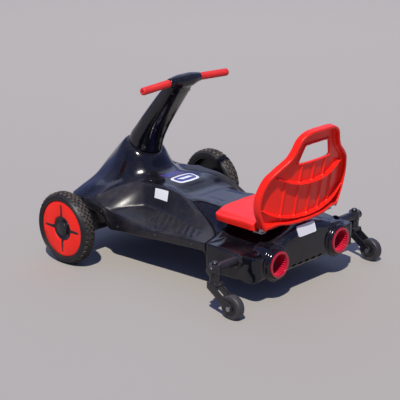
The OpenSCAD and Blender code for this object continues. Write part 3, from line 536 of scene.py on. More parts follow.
def shell_ring(y):
    """Section of the shell at y, with rounded seams, lower edges and ends."""
    row = row_at(SHELL, y)
    end = rolled(min(NOSE_Y - y, y - TAIL_Y), END_ROUND)
    w, low = row[0], belly(y) + end
    ring = []
    for f in crowded(62, 1.42):
        z = shell_height(f * w, y, row) - rolled((1 - abs(f)) * w, SEAM_ROLL) - end
        ring.append((f * (w - end), y, z))
    corner = [(w - end - rolled(h, LOW_ROUND), y, low + h) for h in LOW_STEPS]
    return ring + corner + mirrored(corner)


def rib_relief(x, y, s):
    """Height of the slanted anti-slip ribs on a footwell's floor, s across it."""
    if not (RIB_MARGIN < s < 1 - RIB_MARGIN and RIBS_REAR < y < RIBS_FRONT):
        return 0
    across = ((y + RIB_SLANT * x) / RIB_PITCH) % 1
    pulse = max(0, 1 - abs(across - 0.5) / RIB_SHARE)
    fade = min(1, (s - RIB_MARGIN) / RIB_MARGIN, (1 - RIB_MARGIN - s) / RIB_MARGIN,
               (y - RIBS_REAR) / RIB_FADE, (RIBS_FRONT - y) / RIB_FADE)
    return RIB_H * min(1, pulse * 2) * fade


def cover_corners(y):
    """Seam, knee, wall foot, floor edge and rim of the side cover at y."""
    cols, row = row_at(COVER, y), row_at(SHELL, y)
    return [(row[0], shell_height(row[0], y, row))] + [(cols[k], cols[k + 1]) for k in (0, 2, 4, 6)]


def cover_at(p, k, s):
    """Half width and height on the side cover, s along the piece after corner k."""
    a, b, c, d = p[max(k - 1, 0)], p[k], p[k + 1], p[min(k + 2, 4)]
    return [hermite(s, b[n], c[n], (c[n] - a[n]) * 0.25, (d[n] - b[n]) * 0.25) for n in (0, 1)]


def cover_ring(y):
    """Section of the right side cover at y, from the seam over the footwell to the skirt."""
    p, steps, ring = cover_corners(y), 16, []
    w = p[0][0]
    for k in range(4):
        for j in range(steps):
            x, z = cover_at(p, k, j / steps)
            # Next to the seam the cover leads outwards
            x = max(x, w + 0.05 * j * (k == 0))
            z += rib_relief(x, y, j / steps) if k == 2 else 0
            ring.append((x, y, z - rolled(x - w, SEAM_ROLL)))
    rim_x, rim_z = p[4]
    foot = rim_z - SKIRT_H
    ring += [(rim_x - rolled(h, RIM_ROUND), y, rim_z - h) for h in (0.3, 1.2, 3)]
    ring += [(rim_x - rolled(h, LOW_ROUND), y, foot + h) for h in LOW_STEPS]
    return ring + [(w, y, belly(y))]


def lofted(name, rings):
    """A closed mesh through rings of equally many points, in millimetres."""
    n, mesh = len(rings[0]), bpy.data.meshes.new(name)
    points = [metres(*point) for ring in rings for point in ring]
    faces = [(i * n + j, i * n + (j + 1) % n, (i + 1) * n + (j + 1) % n, (i + 1) * n + j)
             for i in range(len(rings) - 1) for j in range(n)]
    last = (len(rings) - 1) * n
    faces += [tuple(range(n - 1, -1, -1)), tuple(range(last, last + n))]
    mesh.from_pydata(points, [], faces)
    return mesh


def outward(mesh, mirror=False):
    """Normals outwards, after a mirror in X if one is asked for."""
    bm = bmesh.new()
    bm.from_mesh(mesh)
    if mirror:
        bmesh.ops.scale(bm, vec=(-1, 1, 1), verts=bm.verts)
    bmesh.ops.remove_doubles(bm, verts=bm.verts, dist=2 * MERGE)
    bmesh.ops.recalc_face_normals(bm, faces=bm.faces)
    bm.to_mesh(mesh)
    bm.free()
    return mesh


def cut(mesh, cutter):
    """The mesh less a cutter mesh, by an exact boolean."""
    objs = [bpy.data.objects.new("work", m) for m in (mesh, cutter)]
    for obj in objs:
        bpy.context.scene.collection.objects.link(obj)
    mod = objs[0].modifiers.new("cut", "BOOLEAN")
    mod.operation, mod.solver, mod.object = "DIFFERENCE", "EXACT", objs[1]
    result = evaluated(objs[0])
    for obj in objs:
        bpy.data.objects.remove(obj)
    return result


def evaluated(obj):
    """A plain mesh of an object with its modifiers done."""
    bpy.context.view_layer.update()
    return bpy.data.meshes.new_from_object(obj.evaluated_get(bpy.context.evaluated_depsgraph_get()))


def remeshed(node, voxel, rounds):
    """A copy of a CAD node with its edges and joins blended, by a fine remesh and smoothing."""
    obj = bpy.data.objects.new("work", mesh_of(cad_mesh(node), "work"))
    bpy.context.scene.collection.objects.link(obj)
    mod = obj.modifiers.new("remesh", "REMESH")
    mod.mode, mod.voxel_size = "VOXEL", voxel * MM
    soft = obj.modifiers.new("smooth", "SMOOTH")
    soft.factor, soft.iterations = 0.5, rounds
    result = evaluated(obj)
    bpy.data.objects.remove(obj)
    result.shade_smooth()
    return result


def revolved(name, profile, sides):
    """A closed mesh turned about Z from a profile of (radius, height) in millimetres."""
    bm = bmesh.new()
    verts = [bm.verts.new((r * MM, 0, z * MM)) for r, z in profile]
    edges = [bm.edges.new(pair) for pair in zip(verts, verts[1:])]
    if profile[0][0] > 0:
        edges.append(bm.edges.new((verts[-1], verts[0])))
    bmesh.ops.spin(bm, geom=verts + edges, angle=math.tau, steps=sides, axis=(0, 0, 1), cent=(0, 0, 0),
                   use_merge=True)
    bmesh.ops.remove_doubles(bm, verts=bm.verts, dist=MERGE)
    return outward(mesh_of(bm, name))


def drum(bm, radius, y_start, y_end, x, z, sides=96, stretch=1.0):
    """Adds a closed drum along Y, in millimetres, to a bmesh, stretched in X."""
    made = bmesh.ops.create_cone(bm, cap_ends=True, segments=sides, radius1=radius * MM,
                                 radius2=radius * MM, depth=abs(y_end - y_start) * MM)
    place = placed(x, (y_start + y_end) / 2, z, math.pi / 2) @ Matrix.Diagonal((stretch, 1, 1, 1))
    bmesh.ops.transform(bm, matrix=place, verts=made["verts"])


# Radius and length of the cut for the head tube, and gaps round the seat, the lamps and the hatch
HEAD_R, HEAD_LEN, SEAT_GAP, LAMP_GAP, HATCH_GAP = 17.3, 900, 0.5, 0.3, 0.4
# Slots in the bumper
SLOT_R, SLOT_STRETCH, SLOT_PITCH, SLOT_Z, SLOT_DEPTH = 3.5, 3.6, 34, 100, 12
# Top of the cut over the seat's deck, and how far cuts pass the tail, the slots' mouths and the pocket
CUT_TOP, TAIL_PAST, SLOT_PAST, POCKET_PAST = 400, 40, 20, 4
# Bead round the collar: its radius, and its place inside the rim and below it
BEAD_R, BEAD_IN, BEAD_DROP = 2.4, 0.6, 0.8


def shell_cutter():
    """What the shell is cut by: the seat's deck, head tube, lamp pockets, slots and battery pocket."""
    bm = bmesh.new()
    right = seat_outline(SEAT_GAP)
    plan = right + mirrored(right)
    rings = [[bm.verts.new(metres(x, y, z)) for x, y in plan] for z in (DECK_Z, CUT_TOP)]
    for i in range(len(plan)):
        j = (i + 1) % len(plan)
        bm.faces.new((rings[0][i], rings[0][j], rings[1][j], rings[1][i]))
    for ring in rings:
        bm.faces.new(ring)
    made = bmesh.ops.create_cone(bm, cap_ends=True, segments=96, radius1=HEAD_R * MM,
                                 radius2=HEAD_R * MM, depth=HEAD_LEN * MM)
    bmesh.ops.transform(bm, matrix=placed(0, COLLAR_Y, COLLAR_Z, RAKE), verts=made["verts"])
    for side in SIDES.values():
        drum(bm, BULGE_R + LAMP_GAP, POCKET_Y, TAIL_Y - TAIL_PAST, side * LAMP_X, LAMP_Z)
    for i in range(-2, 3):
        drum(bm, SLOT_R, TAIL_Y + SLOT_DEPTH, TAIL_Y - SLOT_PAST, i * SLOT_PITCH, SLOT_Z, 24,
             SLOT_STRETCH)
    low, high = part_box("battery_hatch")
    floor, top = low[2] - POCKET_PAST * MM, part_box("battery_box")[1][2] + POCKET_PAST * MM
    made = bmesh.ops.create_cube(bm, size=1)
    size = [high[k] - low[k] + 2 * HATCH_GAP * MM for k in (0, 1)] + [top - floor]
    middle = [(high[k] + low[k]) / 2 for k in (0, 1)] + [(top + floor) / 2]
    bmesh.ops.transform(bm, matrix=Matrix.Translation(middle) @ Matrix.Diagonal((*size, 1)),
                        verts=made["verts"])
    bmesh.ops.recalc_face_normals(bm, faces=bm.faces)
    return mesh_of(bm, "cutter")


class KART_OT_body(bpy.types.Operator):
    """Smooth glossy shell with its neck and humps, and the two ribbed side covers"""

    bl_idname = "kart.body"
    bl_label = "Body"

    def execute(self, context):
        rings = [shell_ring(y) for y in stations(NOSE_Y, TAIL_Y, SHELL_STEP)]
        mesh = cut(outward(lofted("body_shell_finished", rings)), shell_cutter())
        shade(mesh, 40)
        new_piece("body_shell_finished", mesh, "gloss_black", "frame", "body_shell")
        bead = [(COLLAR_R - BEAD_IN + BEAD_R * math.cos(a), BEAD_R * math.sin(a) - BEAD_R - BEAD_DROP)
                for a in (math.tau * k / 12 for k in range(12))]
        mesh = revolved("collar_bead", bead, 96)
        mesh.transform(placed(0, COLLAR_Y, COLLAR_Z, RAKE))
        shade(outward(mesh), 40)
        new_piece("collar_bead", mesh, "gloss_black", "frame")
        for side, sign in SIDES.items():
            name = f"side_cover_{side}_finished"
            rings = [cover_ring(y) for y in stations(COVER_FRONT, COVER_REAR, COVER_STEP)]
            mesh = outward(lofted(name, rings), sign < 0)
            shade(mesh, 45)
            new_piece(name, mesh, "satin_black", "frame", f"side_cover_{side}")
        return {"FINISHED"}


# Voxel size and rounds of smoothing of the blended pieces
COLUMN_BLEND, SEAT_BACK_BLEND = (2.2, 9), (2.2, 1)


class KART_OT_column(bpy.types.Operator):
    """Steering column with soft joins between the post and the handlebar, and ribbed grips"""

    bl_idname = "kart.column"
    bl_label = "Steering column"

    def execute(self, context):
        mesh = remeshed("steering_column", *COLUMN_BLEND)
        new_piece("steering_column_finished", mesh, "gloss_black", "column", "steering_column")
        for side, sign in SIDES.items():
            mesh = revolved(f"grip_{side}_finished", grip_profile(), 64)
            mesh.transform(grip_place(sign))
            new_piece(mesh.name, outward(mesh), "red_rubber", "column", f"grip_{side}")
            shade(mesh, 40)
        return {"FINISHED"}


# Grips: place on the handlebar, lean in degrees, rings and the blind hole in their ends
GRIP_IN, GRIP_LEN, GRIP_R, BAR_Y, BAR_Z = 77, 136, 13.5, -220, 630
GRIP_SWEEP, GRIP_DROOP = 3, 2
RING_PITCH, RING_DEPTH = 4.0, 0.9
BORE_R, BORE_LEN = 3, 12


def grip_profile():
    """A grip with a plain collar, fine rings and a round end with a blind hole."""
    r, end, groove, crest = GRIP_R, GRIP_LEN, GRIP_R - RING_DEPTH, GRIP_R - 0.1
    points = [(0, 0.7), (r - 1, 0.7), (r, 1.7), (r, 8)]
    z = 10.0
    while z < end - 14:
        points += [(groove, z), (groove, z + 1.2), (crest, z + 1.8), (crest, z + 3.4)]
        z += RING_PITCH
    points += [(r, z), (r, end - 5), (r - 0.8, end - 2.4), (r - 2.6, end - 0.8), (r - 4.6, end - 0.2)]
    points += [(BORE_R + 1, end - 0.2), (BORE_R, end - 1)]
    return points + [(BORE_R, end - BORE_LEN), (0, end - BORE_LEN)]


def grip_place(sign):
    """From a grip's own frame, its end up, to its place on the handlebar."""
    turn = (Matrix.Rotation(math.radians(-GRIP_SWEEP), 4, "Z")
            @ Matrix.Rotation(math.radians(90 + GRIP_DROOP), 4, "Y"))
    place = Matrix.Translation(metres(GRIP_IN, BAR_Y, BAR_Z)) @ turn
    return Matrix.Diagonal((sign, 1, 1, 1)) @ place


# Seat

SEAT = (
    (0, 0.40, 263, 260), (-8, 0.74, 263, 260), (-22, 0.93, 262, 260), (-60, 0.99, 260, 261),
    (-110, 1, 257, 263), (-160, 1, 253, 264), (-195, 1, 252, 263), (-201, 0.91, 252, 263),
    (-207, 0.80, 253, 263), (-230, 0.76, 254, 261),
)
# Half width and front of the seat, and heights of its underside and of the deck's cut
SEAT_HALF, SEAT_FRONT, SEAT_Z, DECK_Z = 186, -505, 231, 228
# Length of the pan, of its outline behind the pan, and slope of its sides
SEAT_LEN, SEAT_BEHIND, SIDE_SLOPE = 230, 3, 4
# Hollow on each side of the middle: depth, place and width as shares, and length of its ramp
DISH, DISH_AT, DISH_WIDE, DISH_RAMP = 2.2, 0.45, 0.22, 60
# Border: its start and width as shares, and its drop
BORDER_AT, BORDER_WIDE, BORDER_DROP = 0.82, 0.18, 8
PAN_END_ROUND, PAN_SIDE_ROUND = 6, 3


def seat_ring(y):
    """Section of the seat pan at a distance behind its front, with a soft border."""
    share, middle, edge = row_at(SEAT, y)
    end = rolled(min(-y, y + SEAT_LEN), PAN_END_ROUND)
    w = share * SEAT_HALF
    ring = []
    for f in crowded(48, 1.4):
        t = max(0, (abs(f) - BORDER_AT) / BORDER_WIDE)
        dish = -DISH * math.exp(-((abs(f) - DISH_AT) / DISH_WIDE)**2) * min(1, -y / DISH_RAMP)
        z = middle + (edge - middle) * f * f + dish - BORDER_DROP * t * t * (3 - 2 * t)
        z -= rolled((1 - abs(f)) * w, PAN_SIDE_ROUND)
        ring.append((f * (w - end), y + SEAT_FRONT, z - end))
    edge_z = ring[-1][2]
    corner = [(w - end - SIDE_SLOPE * h, y + SEAT_FRONT, edge_z - (edge_z - SEAT_Z) * h)
              for h in (0.3, 0.65, 0.9, 1)]
    return ring + corner + mirrored(corner)


def seat_outline(gap):
    """Right half of the seat's outline from above, grown by a gap."""
    spots = (0, -4, -8, -15, -22, -40, -60, -85, -110, -135, -160, -185, -197)
    points = [(row_at(SEAT, y)[0] * SEAT_HALF + gap, y + SEAT_FRONT + (gap if y == 0 else 0))
              for y in spots]
    return points + [(SEAT_HALF + gap, SEAT_FRONT - SEAT_LEN - SEAT_BEHIND)]


class KART_OT_seat(bpy.types.Operator):
    """Soft seat pan and the ribbed seat back"""

    bl_idname = "kart.seat"
    bl_label = "Seat"

    def execute(self, context):
        rings = [seat_ring(y) for y in stations(0, -SEAT_LEN, SEAT_STEP)]
        mesh = outward(lofted("seat_base_finished", rings))
        shade(mesh, 50)
        new_piece(mesh.name, mesh, "red_plastic", "frame", "seat_base")
        mesh = remeshed("seat_back", *SEAT_BACK_BLEND)
        new_piece("seat_back_finished", mesh, "red_plastic", "frame", "seat_back")
        return {"FINISHED"}


# Rings of blocks

def ring_tree():
    """Geometry nodes that turn a block about Z into a full ring of blocks."""
    tree = bpy.data.node_groups.new("ring_of_blocks", "GeometryNodeTree")
    tree.interface.new_socket("Geometry", in_out="OUTPUT", socket_type="NodeSocketGeometry")
    for label, kind in (("Block", "NodeSocketObject"), ("Count", "NodeSocketInt"),
                        ("Finish", "NodeSocketMaterial")):
        tree.interface.new_socket(label, in_out="INPUT", socket_type=kind)
    nodes, links = tree.nodes, tree.links
    gin, gout = nodes.new("NodeGroupInput"), nodes.new("NodeGroupOutput")
    points, info = nodes.new("GeometryNodePoints"), nodes.new("GeometryNodeObjectInfo")
    index, step = nodes.new("GeometryNodeInputIndex"), nodes.new("ShaderNodeMath")
    step.operation = "DIVIDE"
    step.inputs[0].default_value = math.tau
    turn = nodes.new("ShaderNodeMath")
    turn.operation = "MULTIPLY"
    spin = nodes.new("ShaderNodeCombineXYZ")
    place, whole = nodes.new("GeometryNodeInstanceOnPoints"), nodes.new("GeometryNodeRealizeInstances")
    paint = nodes.new("GeometryNodeSetMaterial")
    links.new(gin.outputs["Count"], points.inputs["Count"])
    links.new(gin.outputs["Count"], step.inputs[1])
    links.new(index.outputs["Index"], turn.inputs[0])
    links.new(step.outputs["Value"], turn.inputs[1])
    links.new(turn.outputs["Value"], spin.inputs["Z"])
    links.new(gin.outputs["Block"], info.inputs["Object"])
    links.new(points.outputs[0], place.inputs["Points"])
    links.new(info.outputs["Geometry"], place.inputs["Instance"])
    links.new(spin.outputs["Vector"], place.inputs["Rotation"])
    links.new(place.outputs["Instances"], whole.inputs["Geometry"])
    links.new(whole.outputs["Geometry"], paint.inputs["Geometry"])
    links.new(gin.outputs["Finish"], paint.inputs["Material"])
    links.new(paint.outputs["Geometry"], gout.inputs["Geometry"])
    return tree


def ring_of(name, block, count, mat):
    """A plain mesh of a ring of blocks about Z."""
    if "ring" not in GROUPS:
        GROUPS["ring"] = ring_tree()
    tree = GROUPS["ring"]
    sample = bpy.data.objects.new("block", block)
    holder = bpy.data.objects.new(name, bpy.data.meshes.new(name))
    for obj in (sample, holder):
        bpy.context.scene.collection.objects.link(obj)
    mod = holder.modifiers.new("ring", "NODES")
    mod.node_group = tree
    keys = {item.name: item.identifier for item in tree.interface.items_tree if item.in_out == "INPUT"}
    mod[keys["Block"]], mod[keys["Count"]], mod[keys["Finish"]] = sample, count, MATS[mat]
    mesh = evaluated(holder)
    for obj in (sample, holder):
        bpy.data.objects.remove(obj)
    return mesh


def prism(corners_low, corners_high):
    """A closed block between two quadrilaterals, given in millimetres."""
    mesh = bpy.data.meshes.new("block")
    points = [tuple(v * MM for v in p) for p in (*corners_low, *corners_high)]
    sides = [(i, (i + 1) % 4, 4 + (i + 1) % 4, 4 + i) for i in range(4)]
    mesh.from_pydata(points, [], [(0, 1, 2, 3), (4, 5, 6, 7), *sides])
    return outward(mesh)


def fin_face(inner, outer, inner_half, outer_half, z):
    """Corners of a radial block's end: its two radii, its half widths there and its height."""
    return [(inner, -inner_half, z), (outer, -outer_half, z),
            (outer, outer_half, z), (inner, inner_half, z)]


# How far a tread block's top is inside its base on each side
CHAMFER = 0.8


def chamfered(points, low, high):
    """A tread block over (round, across) corners: its base at one radius, its smaller top at four."""
    cx, cz = sum(p[0] for p in points) / 4, sum(p[1] for p in points) / 4
    base = [(math.sqrt(low**2 - t**2), t, z) for t, z in points]
    top = []
    for i, (t, z) in enumerate(points):
        k = 1 - CHAMFER / max(abs(t - cx), abs(z - cz), 0.1)
        round_at = cx + (t - cx) * k
        top.append((math.sqrt(high[i]**2 - round_at**2), round_at, cz + (z - cz) * k))
    return prism(base, top)


# Front wheels

# Height of the tyre's section, and how far its sidewall's ribs lie inside the tyre's radius
TYRE_H, WALL_RIBS = 29, (20, 16.4, 12.8)
TREAD_COUNT = 38
# Half length of a block as a share of the pitch, and slant of the middle blocks
BLOCK_SHARE, SKEW = 0.34, 2.6
# Edges of the blocks, the first from the tyre's middle and the others from its side, and taper
MIDDLE_IN, MIDDLE_OUT, SHOULDER_IN, SHOULDER_OUT, SHOULDER_TAPER = 1.2, 18.5, 16.5, 6.5, 0.8
# Depths of a block's top, of its root in the casing, and of a shoulder block's end and root
CROWN, ROOT, SHOULDER_END, SHOULDER_ROOT = 0.4, 1.2, 4.3, 9.5
# Spokes: inner radius, width of the cover's ring, overlap with it, and heights
SPOKE_IN, COVER_RING, SPOKE_LAP, SPOKE_LOW, SPOKE_HIGH = 43.6, 16, 1.5, -13.9, -5.2


def tyre_profile(wide, deep):
    """A tyre's section as (radius, distance outwards), its crown lowered under the tread."""
    r = WHEEL_R / MM
    half = [(r - TYRE_H, -4), (r - 28.2, -1.9), (r - 26.5, -0.9), (r - 24, -0.6)]
    for rib in WALL_RIBS:
        half += [(r - rib + step, depth) for step, depth in
                 ((-1.1, -0.9), (-0.7, -0.1), (0.7, -0.1), (1.1, -0.9))]
    half += [(r - 10.6, -2.2), (r - 9.6, -4.4), (r - 7.8, -7.4), (r - 5.6, -10.6)]
    half += [(r - deep - 0.9, -14.5), (r - deep, -18)]
    return half + [(a, -wide - b) for a, b in reversed(half)]


def tread_blocks(wide, deep):
    """One pitch of the tread: two slanted middle blocks and a block over each shoulder."""
    r, mid, pitch = WHEEL_R / MM, -wide / 2, math.tau * WHEEL_R / MM / TREAD_COUNT
    low, top, end = r - deep - ROOT, r - CROWN, r - SHOULDER_END
    a = pitch * BLOCK_SHARE
    b = a * SHOULDER_TAPER
    blocks = []
    for sign in (1, -1):
        shift = pitch / 4 * sign
        inner, outer = mid + sign * MIDDLE_IN, mid + sign * (wide / 2 - MIDDLE_OUT)
        corners = [(shift - a - SKEW, inner), (shift + a - SKEW, inner),
                   (shift + a + SKEW, outer), (shift - a + SKEW, outer)]
        blocks.append(chamfered(corners, low, [top] * 4))
        near, far = mid + sign * (wide / 2 - SHOULDER_IN), mid + sign * (wide / 2 - SHOULDER_OUT)
        corners = [(-shift - a, near), (-shift + a, near), (-shift + b, far), (-shift - b, far)]
        blocks.append(chamfered(corners, r - SHOULDER_ROOT, [top - 0.1, top - 0.1, end, end]))
    return merged("pitch", blocks)


def spoke():
    """A rim's spoke that fills a slot of the wheel cover."""
    tip = WHEEL_R / MM - TYRE_H - COVER_RING + SPOKE_LAP
    return prism(fin_face(SPOKE_IN, tip, 6.1, 3.2, SPOKE_LOW),
                 fin_face(SPOKE_IN, tip - 1.5, 5.6, 2.8, SPOKE_HIGH))


def wheel_place(sign):
    """From a wheel's own frame, its outer side up, to its place."""
    place = Matrix.Translation((TYRE_OUT, AXLE_Y, WHEEL_R)) @ Matrix.Rotation(math.radians(90), 4, "Y")
    return Matrix.Diagonal((sign, 1, 1, 1)) @ place


class KART_OT_wheels(bpy.types.Operator):
    """Front tyres with ribbed walls, tread blocks and the rims' spokes"""

    bl_idname = "kart.wheels"
    bl_label = "Front wheels"

    def execute(self, context):
        wide, deep = (TYRE_OUT - TYRE_IN) / MM, context.scene.kart_sizes.tread_depth / MM
        for side, sign in SIDES.items():
            mesh = revolved(f"tyre_front_{side}_finished", tyre_profile(wide, deep), 120)
            mesh.transform(wheel_place(sign))
            outward(mesh)
            shade(mesh, 32)
            new_piece(mesh.name, mesh, "tyre_rubber", f"wheel_front_{side}", f"tyre_front_{side}")
            mesh = ring_of(f"tread_{side}", tread_blocks(wide, deep), TREAD_COUNT, "tread_rubber")
            mesh.transform(wheel_place(sign))
            outward(mesh)
            new_piece(f"tread_{side}", mesh, "tread_rubber", f"wheel_front_{side}")
            mesh = ring_of(f"spokes_{side}", spoke(), 4, "satin_black")
            mesh.transform(wheel_place(sign))
            new_piece(f"spokes_{side}", outward(mesh), "satin_black", f"wheel_front_{side}")
        return {"FINISHED"}


# Tail lamps

LAMP_DEPTH, RIB_COUNT = 44, 26
# A rib's foot and top, as in fin_face
RIB_FOOT, RIB_TOP = (27.6, 31.8, 0.8, 1.4, 10), (34.2, 36.4, 1.0, 1.5, 43)
# Size of the collar round a lamp's housing, and how far it reaches into the bumper
LAMP_COLLAR, COLLAR_FOOT = 5, 2


def fillet_profile(radius, size):
    """Section of a collar that leads from a flat face up to a round housing."""
    arc = [(radius + size * (1 - math.sin(a)), size * (1 - math.cos(a)))
           for a in (math.radians(15 * k) for k in range(7))]
    return [(radius, -COLLAR_FOOT), (radius + size, -COLLAR_FOOT), *arc]


class KART_OT_lamps(bpy.types.Operator):
    """Radial ribs round the inside of each tail lamp, in a lighter red that paints their highlight, and
    a soft collar round its housing
    """

    bl_idname = "kart.lamps"
    bl_label = "Tail lamps"

    def execute(self, context):
        fin = prism(fin_face(*RIB_FOOT), fin_face(*RIB_TOP))
        for side, sign in SIDES.items():
            # The ribs' lighter red is a painted highlight
            mesh = ring_of(f"lamp_ribs_{side}", fin, RIB_COUNT, "lamp_rib")
            mesh.transform(placed(sign * LAMP_X, LAMP_Y + LAMP_DEPTH, LAMP_Z, math.pi / 2))
            new_piece(f"lamp_ribs_{side}", outward(mesh), "lamp_rib", "frame")
            mesh = revolved(f"lamp_collar_{side}", fillet_profile(BULGE_R + 0.2, LAMP_COLLAR), 96)
            mesh.transform(placed(sign * LAMP_X, TAIL_Y, LAMP_Z, math.pi / 2))
            shade(outward(mesh), 40)
            new_piece(mesh.name, mesh, "gloss_black", "frame")
        return {"FINISHED"}


# Badge, sticker, plate and screws

# How far a sheet reaches into its panel
SHEET_UNDER = 0.6


def patch(name, grid, lift, mat):
    """A thin closed sheet over a grid of (point, normal) in millimetres."""
    rows, cols = len(grid), len(grid[0])
    points = [metres(*(Vector(point) + normal * height))
              for height in (lift, -SHEET_UNDER) for row in grid for point, normal in row]
    n = rows * cols
    faces = []
    for i in range(rows - 1):
        for j in range(cols - 1):
            quad = (i * cols + j, i * cols + j + 1, (i + 1) * cols + j + 1, (i + 1) * cols + j)
            faces += [quad, tuple(n + k for k in reversed(quad))]
    border = (list(range(cols)) + [i * cols + cols - 1 for i in range(1, rows)]
              + [(rows - 1) * cols + j for j in range(cols - 2, -1, -1)]
              + [i * cols for i in range(rows - 2, 0, -1)])
    faces += [(b, a, n + a, n + b) for a, b in zip(border, border[1:] + border[:1])]
    mesh = bpy.data.meshes.new(name)
    mesh.from_pydata(points, [], faces)
    shade(outward(mesh), 40)
    new_piece(name, mesh, mat, "frame")


def surface_normal(height, x, y):
    """Unit normal of a height field."""
    dx = height(x + 0.5, y) - height(x - 0.5, y)
    dy = height(x, y + 0.5) - height(x, y - 0.5)
    return Vector((-dx, -dy, 1)).normalized()


def badge_part(name, start, end, left, right, mat, lift):
    """A part of the hump's badge between two stations, with side lines given as functions."""
    grid = []
    for i in range(BADGE_STEPS + 1):
        t = i / BADGE_STEPS
        y, a, b = start + (end - start) * t, left(t), right(t)
        row = []
        for j in range(BADGE_STEPS + 1):
            x = a + (b - a) * j / BADGE_STEPS
            row.append(((x, y, shell_height(x, y)), surface_normal(shell_height, x, y)))
        grid.append(row)
    patch(name, grid, lift, mat)


# Place and direction of the right half's screws on the column
COLUMN_SCREWS = ((46.0, -61.0, 363, 0.70, -0.68, -0.21), (43.6, -203.6, 584.7, 0.47, -0.75, -0.46))


def oval(half):
    """Side lines of a rounded field, narrower towards the seat."""
    def line(t):
        return half * max(0, 1 - abs(2 * t - 1)**4)**0.25 * (1 - 0.1 * t) + 0.5
    return (lambda t: -line(t)), line


def slanted(left, right, left_slant, right_slant):
    """Side lines of a field, each with its own slant."""
    return (lambda t: left + left_slant * t), (lambda t: right + right_slant * t)


# Badge: piece, first and last station, side lines, finish, layer
BADGE = (
    ("badge_white", -188, -252, *oval(56), "badge_white", 1),
    ("badge_centre", -197, -243, *oval(46), "badge_blue", 1.5),
    ("badge_stripe", -213, -227, *slanted(-34, 22, 14, 14), "badge_white", 2),
    ("badge_field", -140, -182, *slanted(-52, 30, 8, 20), "badge_purple", 1),
    ("badge_band", -150, -172, *slanted(-44, -8, 14, 14), "badge_blue", 1.5),
)
BADGE_STEPS = 24
# Sticker: its front, its length, and its lower edge and height as shares of the footwell's wall
STICKER_FRONT, STICKER_LEN, STICKER_LOW, STICKER_SHARE = -213, 58, 0.14, 0.40
PLATE_Y, PLATE_Z, PLATE_LEAN = -776, 209, 72
PLATE_HALF_W, PLATE_HALF_H, PLATE_CORNER = 45, 18.5, 6
# Rings of the plate from its back to its sunk front, as (scale, height)
PLATE_RINGS = ((1.0, -1.5), (1.0, 3.3), (0.985, 3.9), (0.945, 3.9), (0.93, 3.2))
COVER_SCREW_STATIONS, COVER_SCREW_DROP = (-70, -150, -330, -500), 14


class KART_OT_marks(bpy.types.Operator):
    """Plain badge on the hump, blank sticker, blank plate and the screws"""

    bl_idname = "kart.marks"
    bl_label = "Badge and trim"

    def execute(self, context):
        lift = context.scene.kart_sizes.sticker_lift / MM
        for name, start, end, left, right, mat, layer in BADGE:
            badge_part(name, start, end, left, right, mat, lift * layer)
        for side, sign in SIDES.items():
            self.screws(side, sign)
        spots = [((x * sign, y, z), (nx * sign, ny, nz))
                 for x, y, z, nx, ny, nz in COLUMN_SCREWS for sign in SIDES.values()]
        screw_piece("column_screws", spots, "column")
        self.sticker(lift)
        self.plate()
        return {"FINISHED"}

    def sticker(self, lift):
        """Blank sticker on the left footwell's inner wall."""
        grid = []
        for i in range(17):
            y = STICKER_FRONT - STICKER_LEN * i / 16
            row = []
            for j in range(13):
                s = STICKER_LOW + STICKER_SHARE * j / 12
                x, z = cover_at(cover_corners(y), 1, s)
                x2, z2 = cover_at(cover_corners(y), 1, s + 0.01)
                row.append(((-x, y, z), Vector((-(z - z2), 0, x2 - x)).normalized()))
            grid.append(row)
        patch("sticker", grid, lift, "badge_white")

    def plate(self):
        """Blank plate with round corners and a raised rim on the bumper's leaning upper face."""
        bm = bmesh.new()
        w, h, r = PLATE_HALF_W - PLATE_CORNER, PLATE_HALF_H - PLATE_CORNER, PLATE_CORNER
        outline = [(cx * w + r * math.cos(math.radians(a)), cz * h + r * math.sin(math.radians(a)))
                   for cx, cz, first in ((1, 1, 0), (-1, 1, 90), (-1, -1, 180), (1, -1, 270))
                   for a in range(first, first + 91, 15)]
        rings = [[bm.verts.new((x * k * MM, z * k * MM, d * MM)) for x, z in outline]
                 for k, d in PLATE_RINGS]
        for a, b in zip(rings, rings[1:]):
            for i in range(len(outline)):
                j = (i + 1) % len(outline)
                bm.faces.new((a[i], a[j], b[j], b[i]))
        bm.faces.new(rings[0])
        bm.faces.new(rings[-1])
        mesh = mesh_of(bm, "plate")
        mesh.transform(placed(0, PLATE_Y, PLATE_Z, math.radians(PLATE_LEAN)))
        shade(outward(mesh), 30)
        new_piece("plate", mesh, "plate_white", "frame")

    def screws(self, side, sign):
        """Screws along the skirt of a side cover."""
        spots = []
        for y in COVER_SCREW_STATIONS:
            rim_x, rim_z = row_at(COVER, y)[6:8]
            spots.append((((rim_x - 0.2) * sign, y, rim_z - COVER_SCREW_DROP), (sign, 0, 0)))
        screw_piece(f"cover_screws_{side}", spots, "frame")


# Profile of a screw head with a recess, as (radius, height)
SCREW_HEAD = ((0, 0.5), (1.5, 0.5), (1.9, 1.5), (2.8, 1.6), (3.9, 1.0), (4.4, 0.1), (4.4, -1.5),
              (0, -1.5))


def screw_head(place, normal):
    """A screw head on a surface point in millimetres."""
    mesh = revolved("screw", SCREW_HEAD, 20)
    turn = Vector(normal).to_track_quat("Z", "Y").to_matrix().to_4x4()
    mesh.transform(Matrix.Translation(metres(*place)) @ turn)
    return mesh


def screw_piece(name, screws, body):
    """One piece out of several screw heads, given as (place, normal)."""
    mesh = merged(name, [screw_head(*screw) for screw in screws])
    shade(mesh, 40)
    new_piece(name, mesh, "zinc_dark", body)


class KART_OT_paint(bpy.types.Operator):
    """Gives every CAD node its finish"""

    bl_idname = "kart.paint"
    bl_label = "Finishes"

    def execute(self, context):
        make_finishes(context.scene.kart_colours)
        for sub in frame["record"]["subparts"]:
            mesh = frame["nodes"][sub["node"]].data
            mesh.materials.clear()
            mesh.materials.append(MATS[sub["material_slot"]])
        return {"FINISHED"}


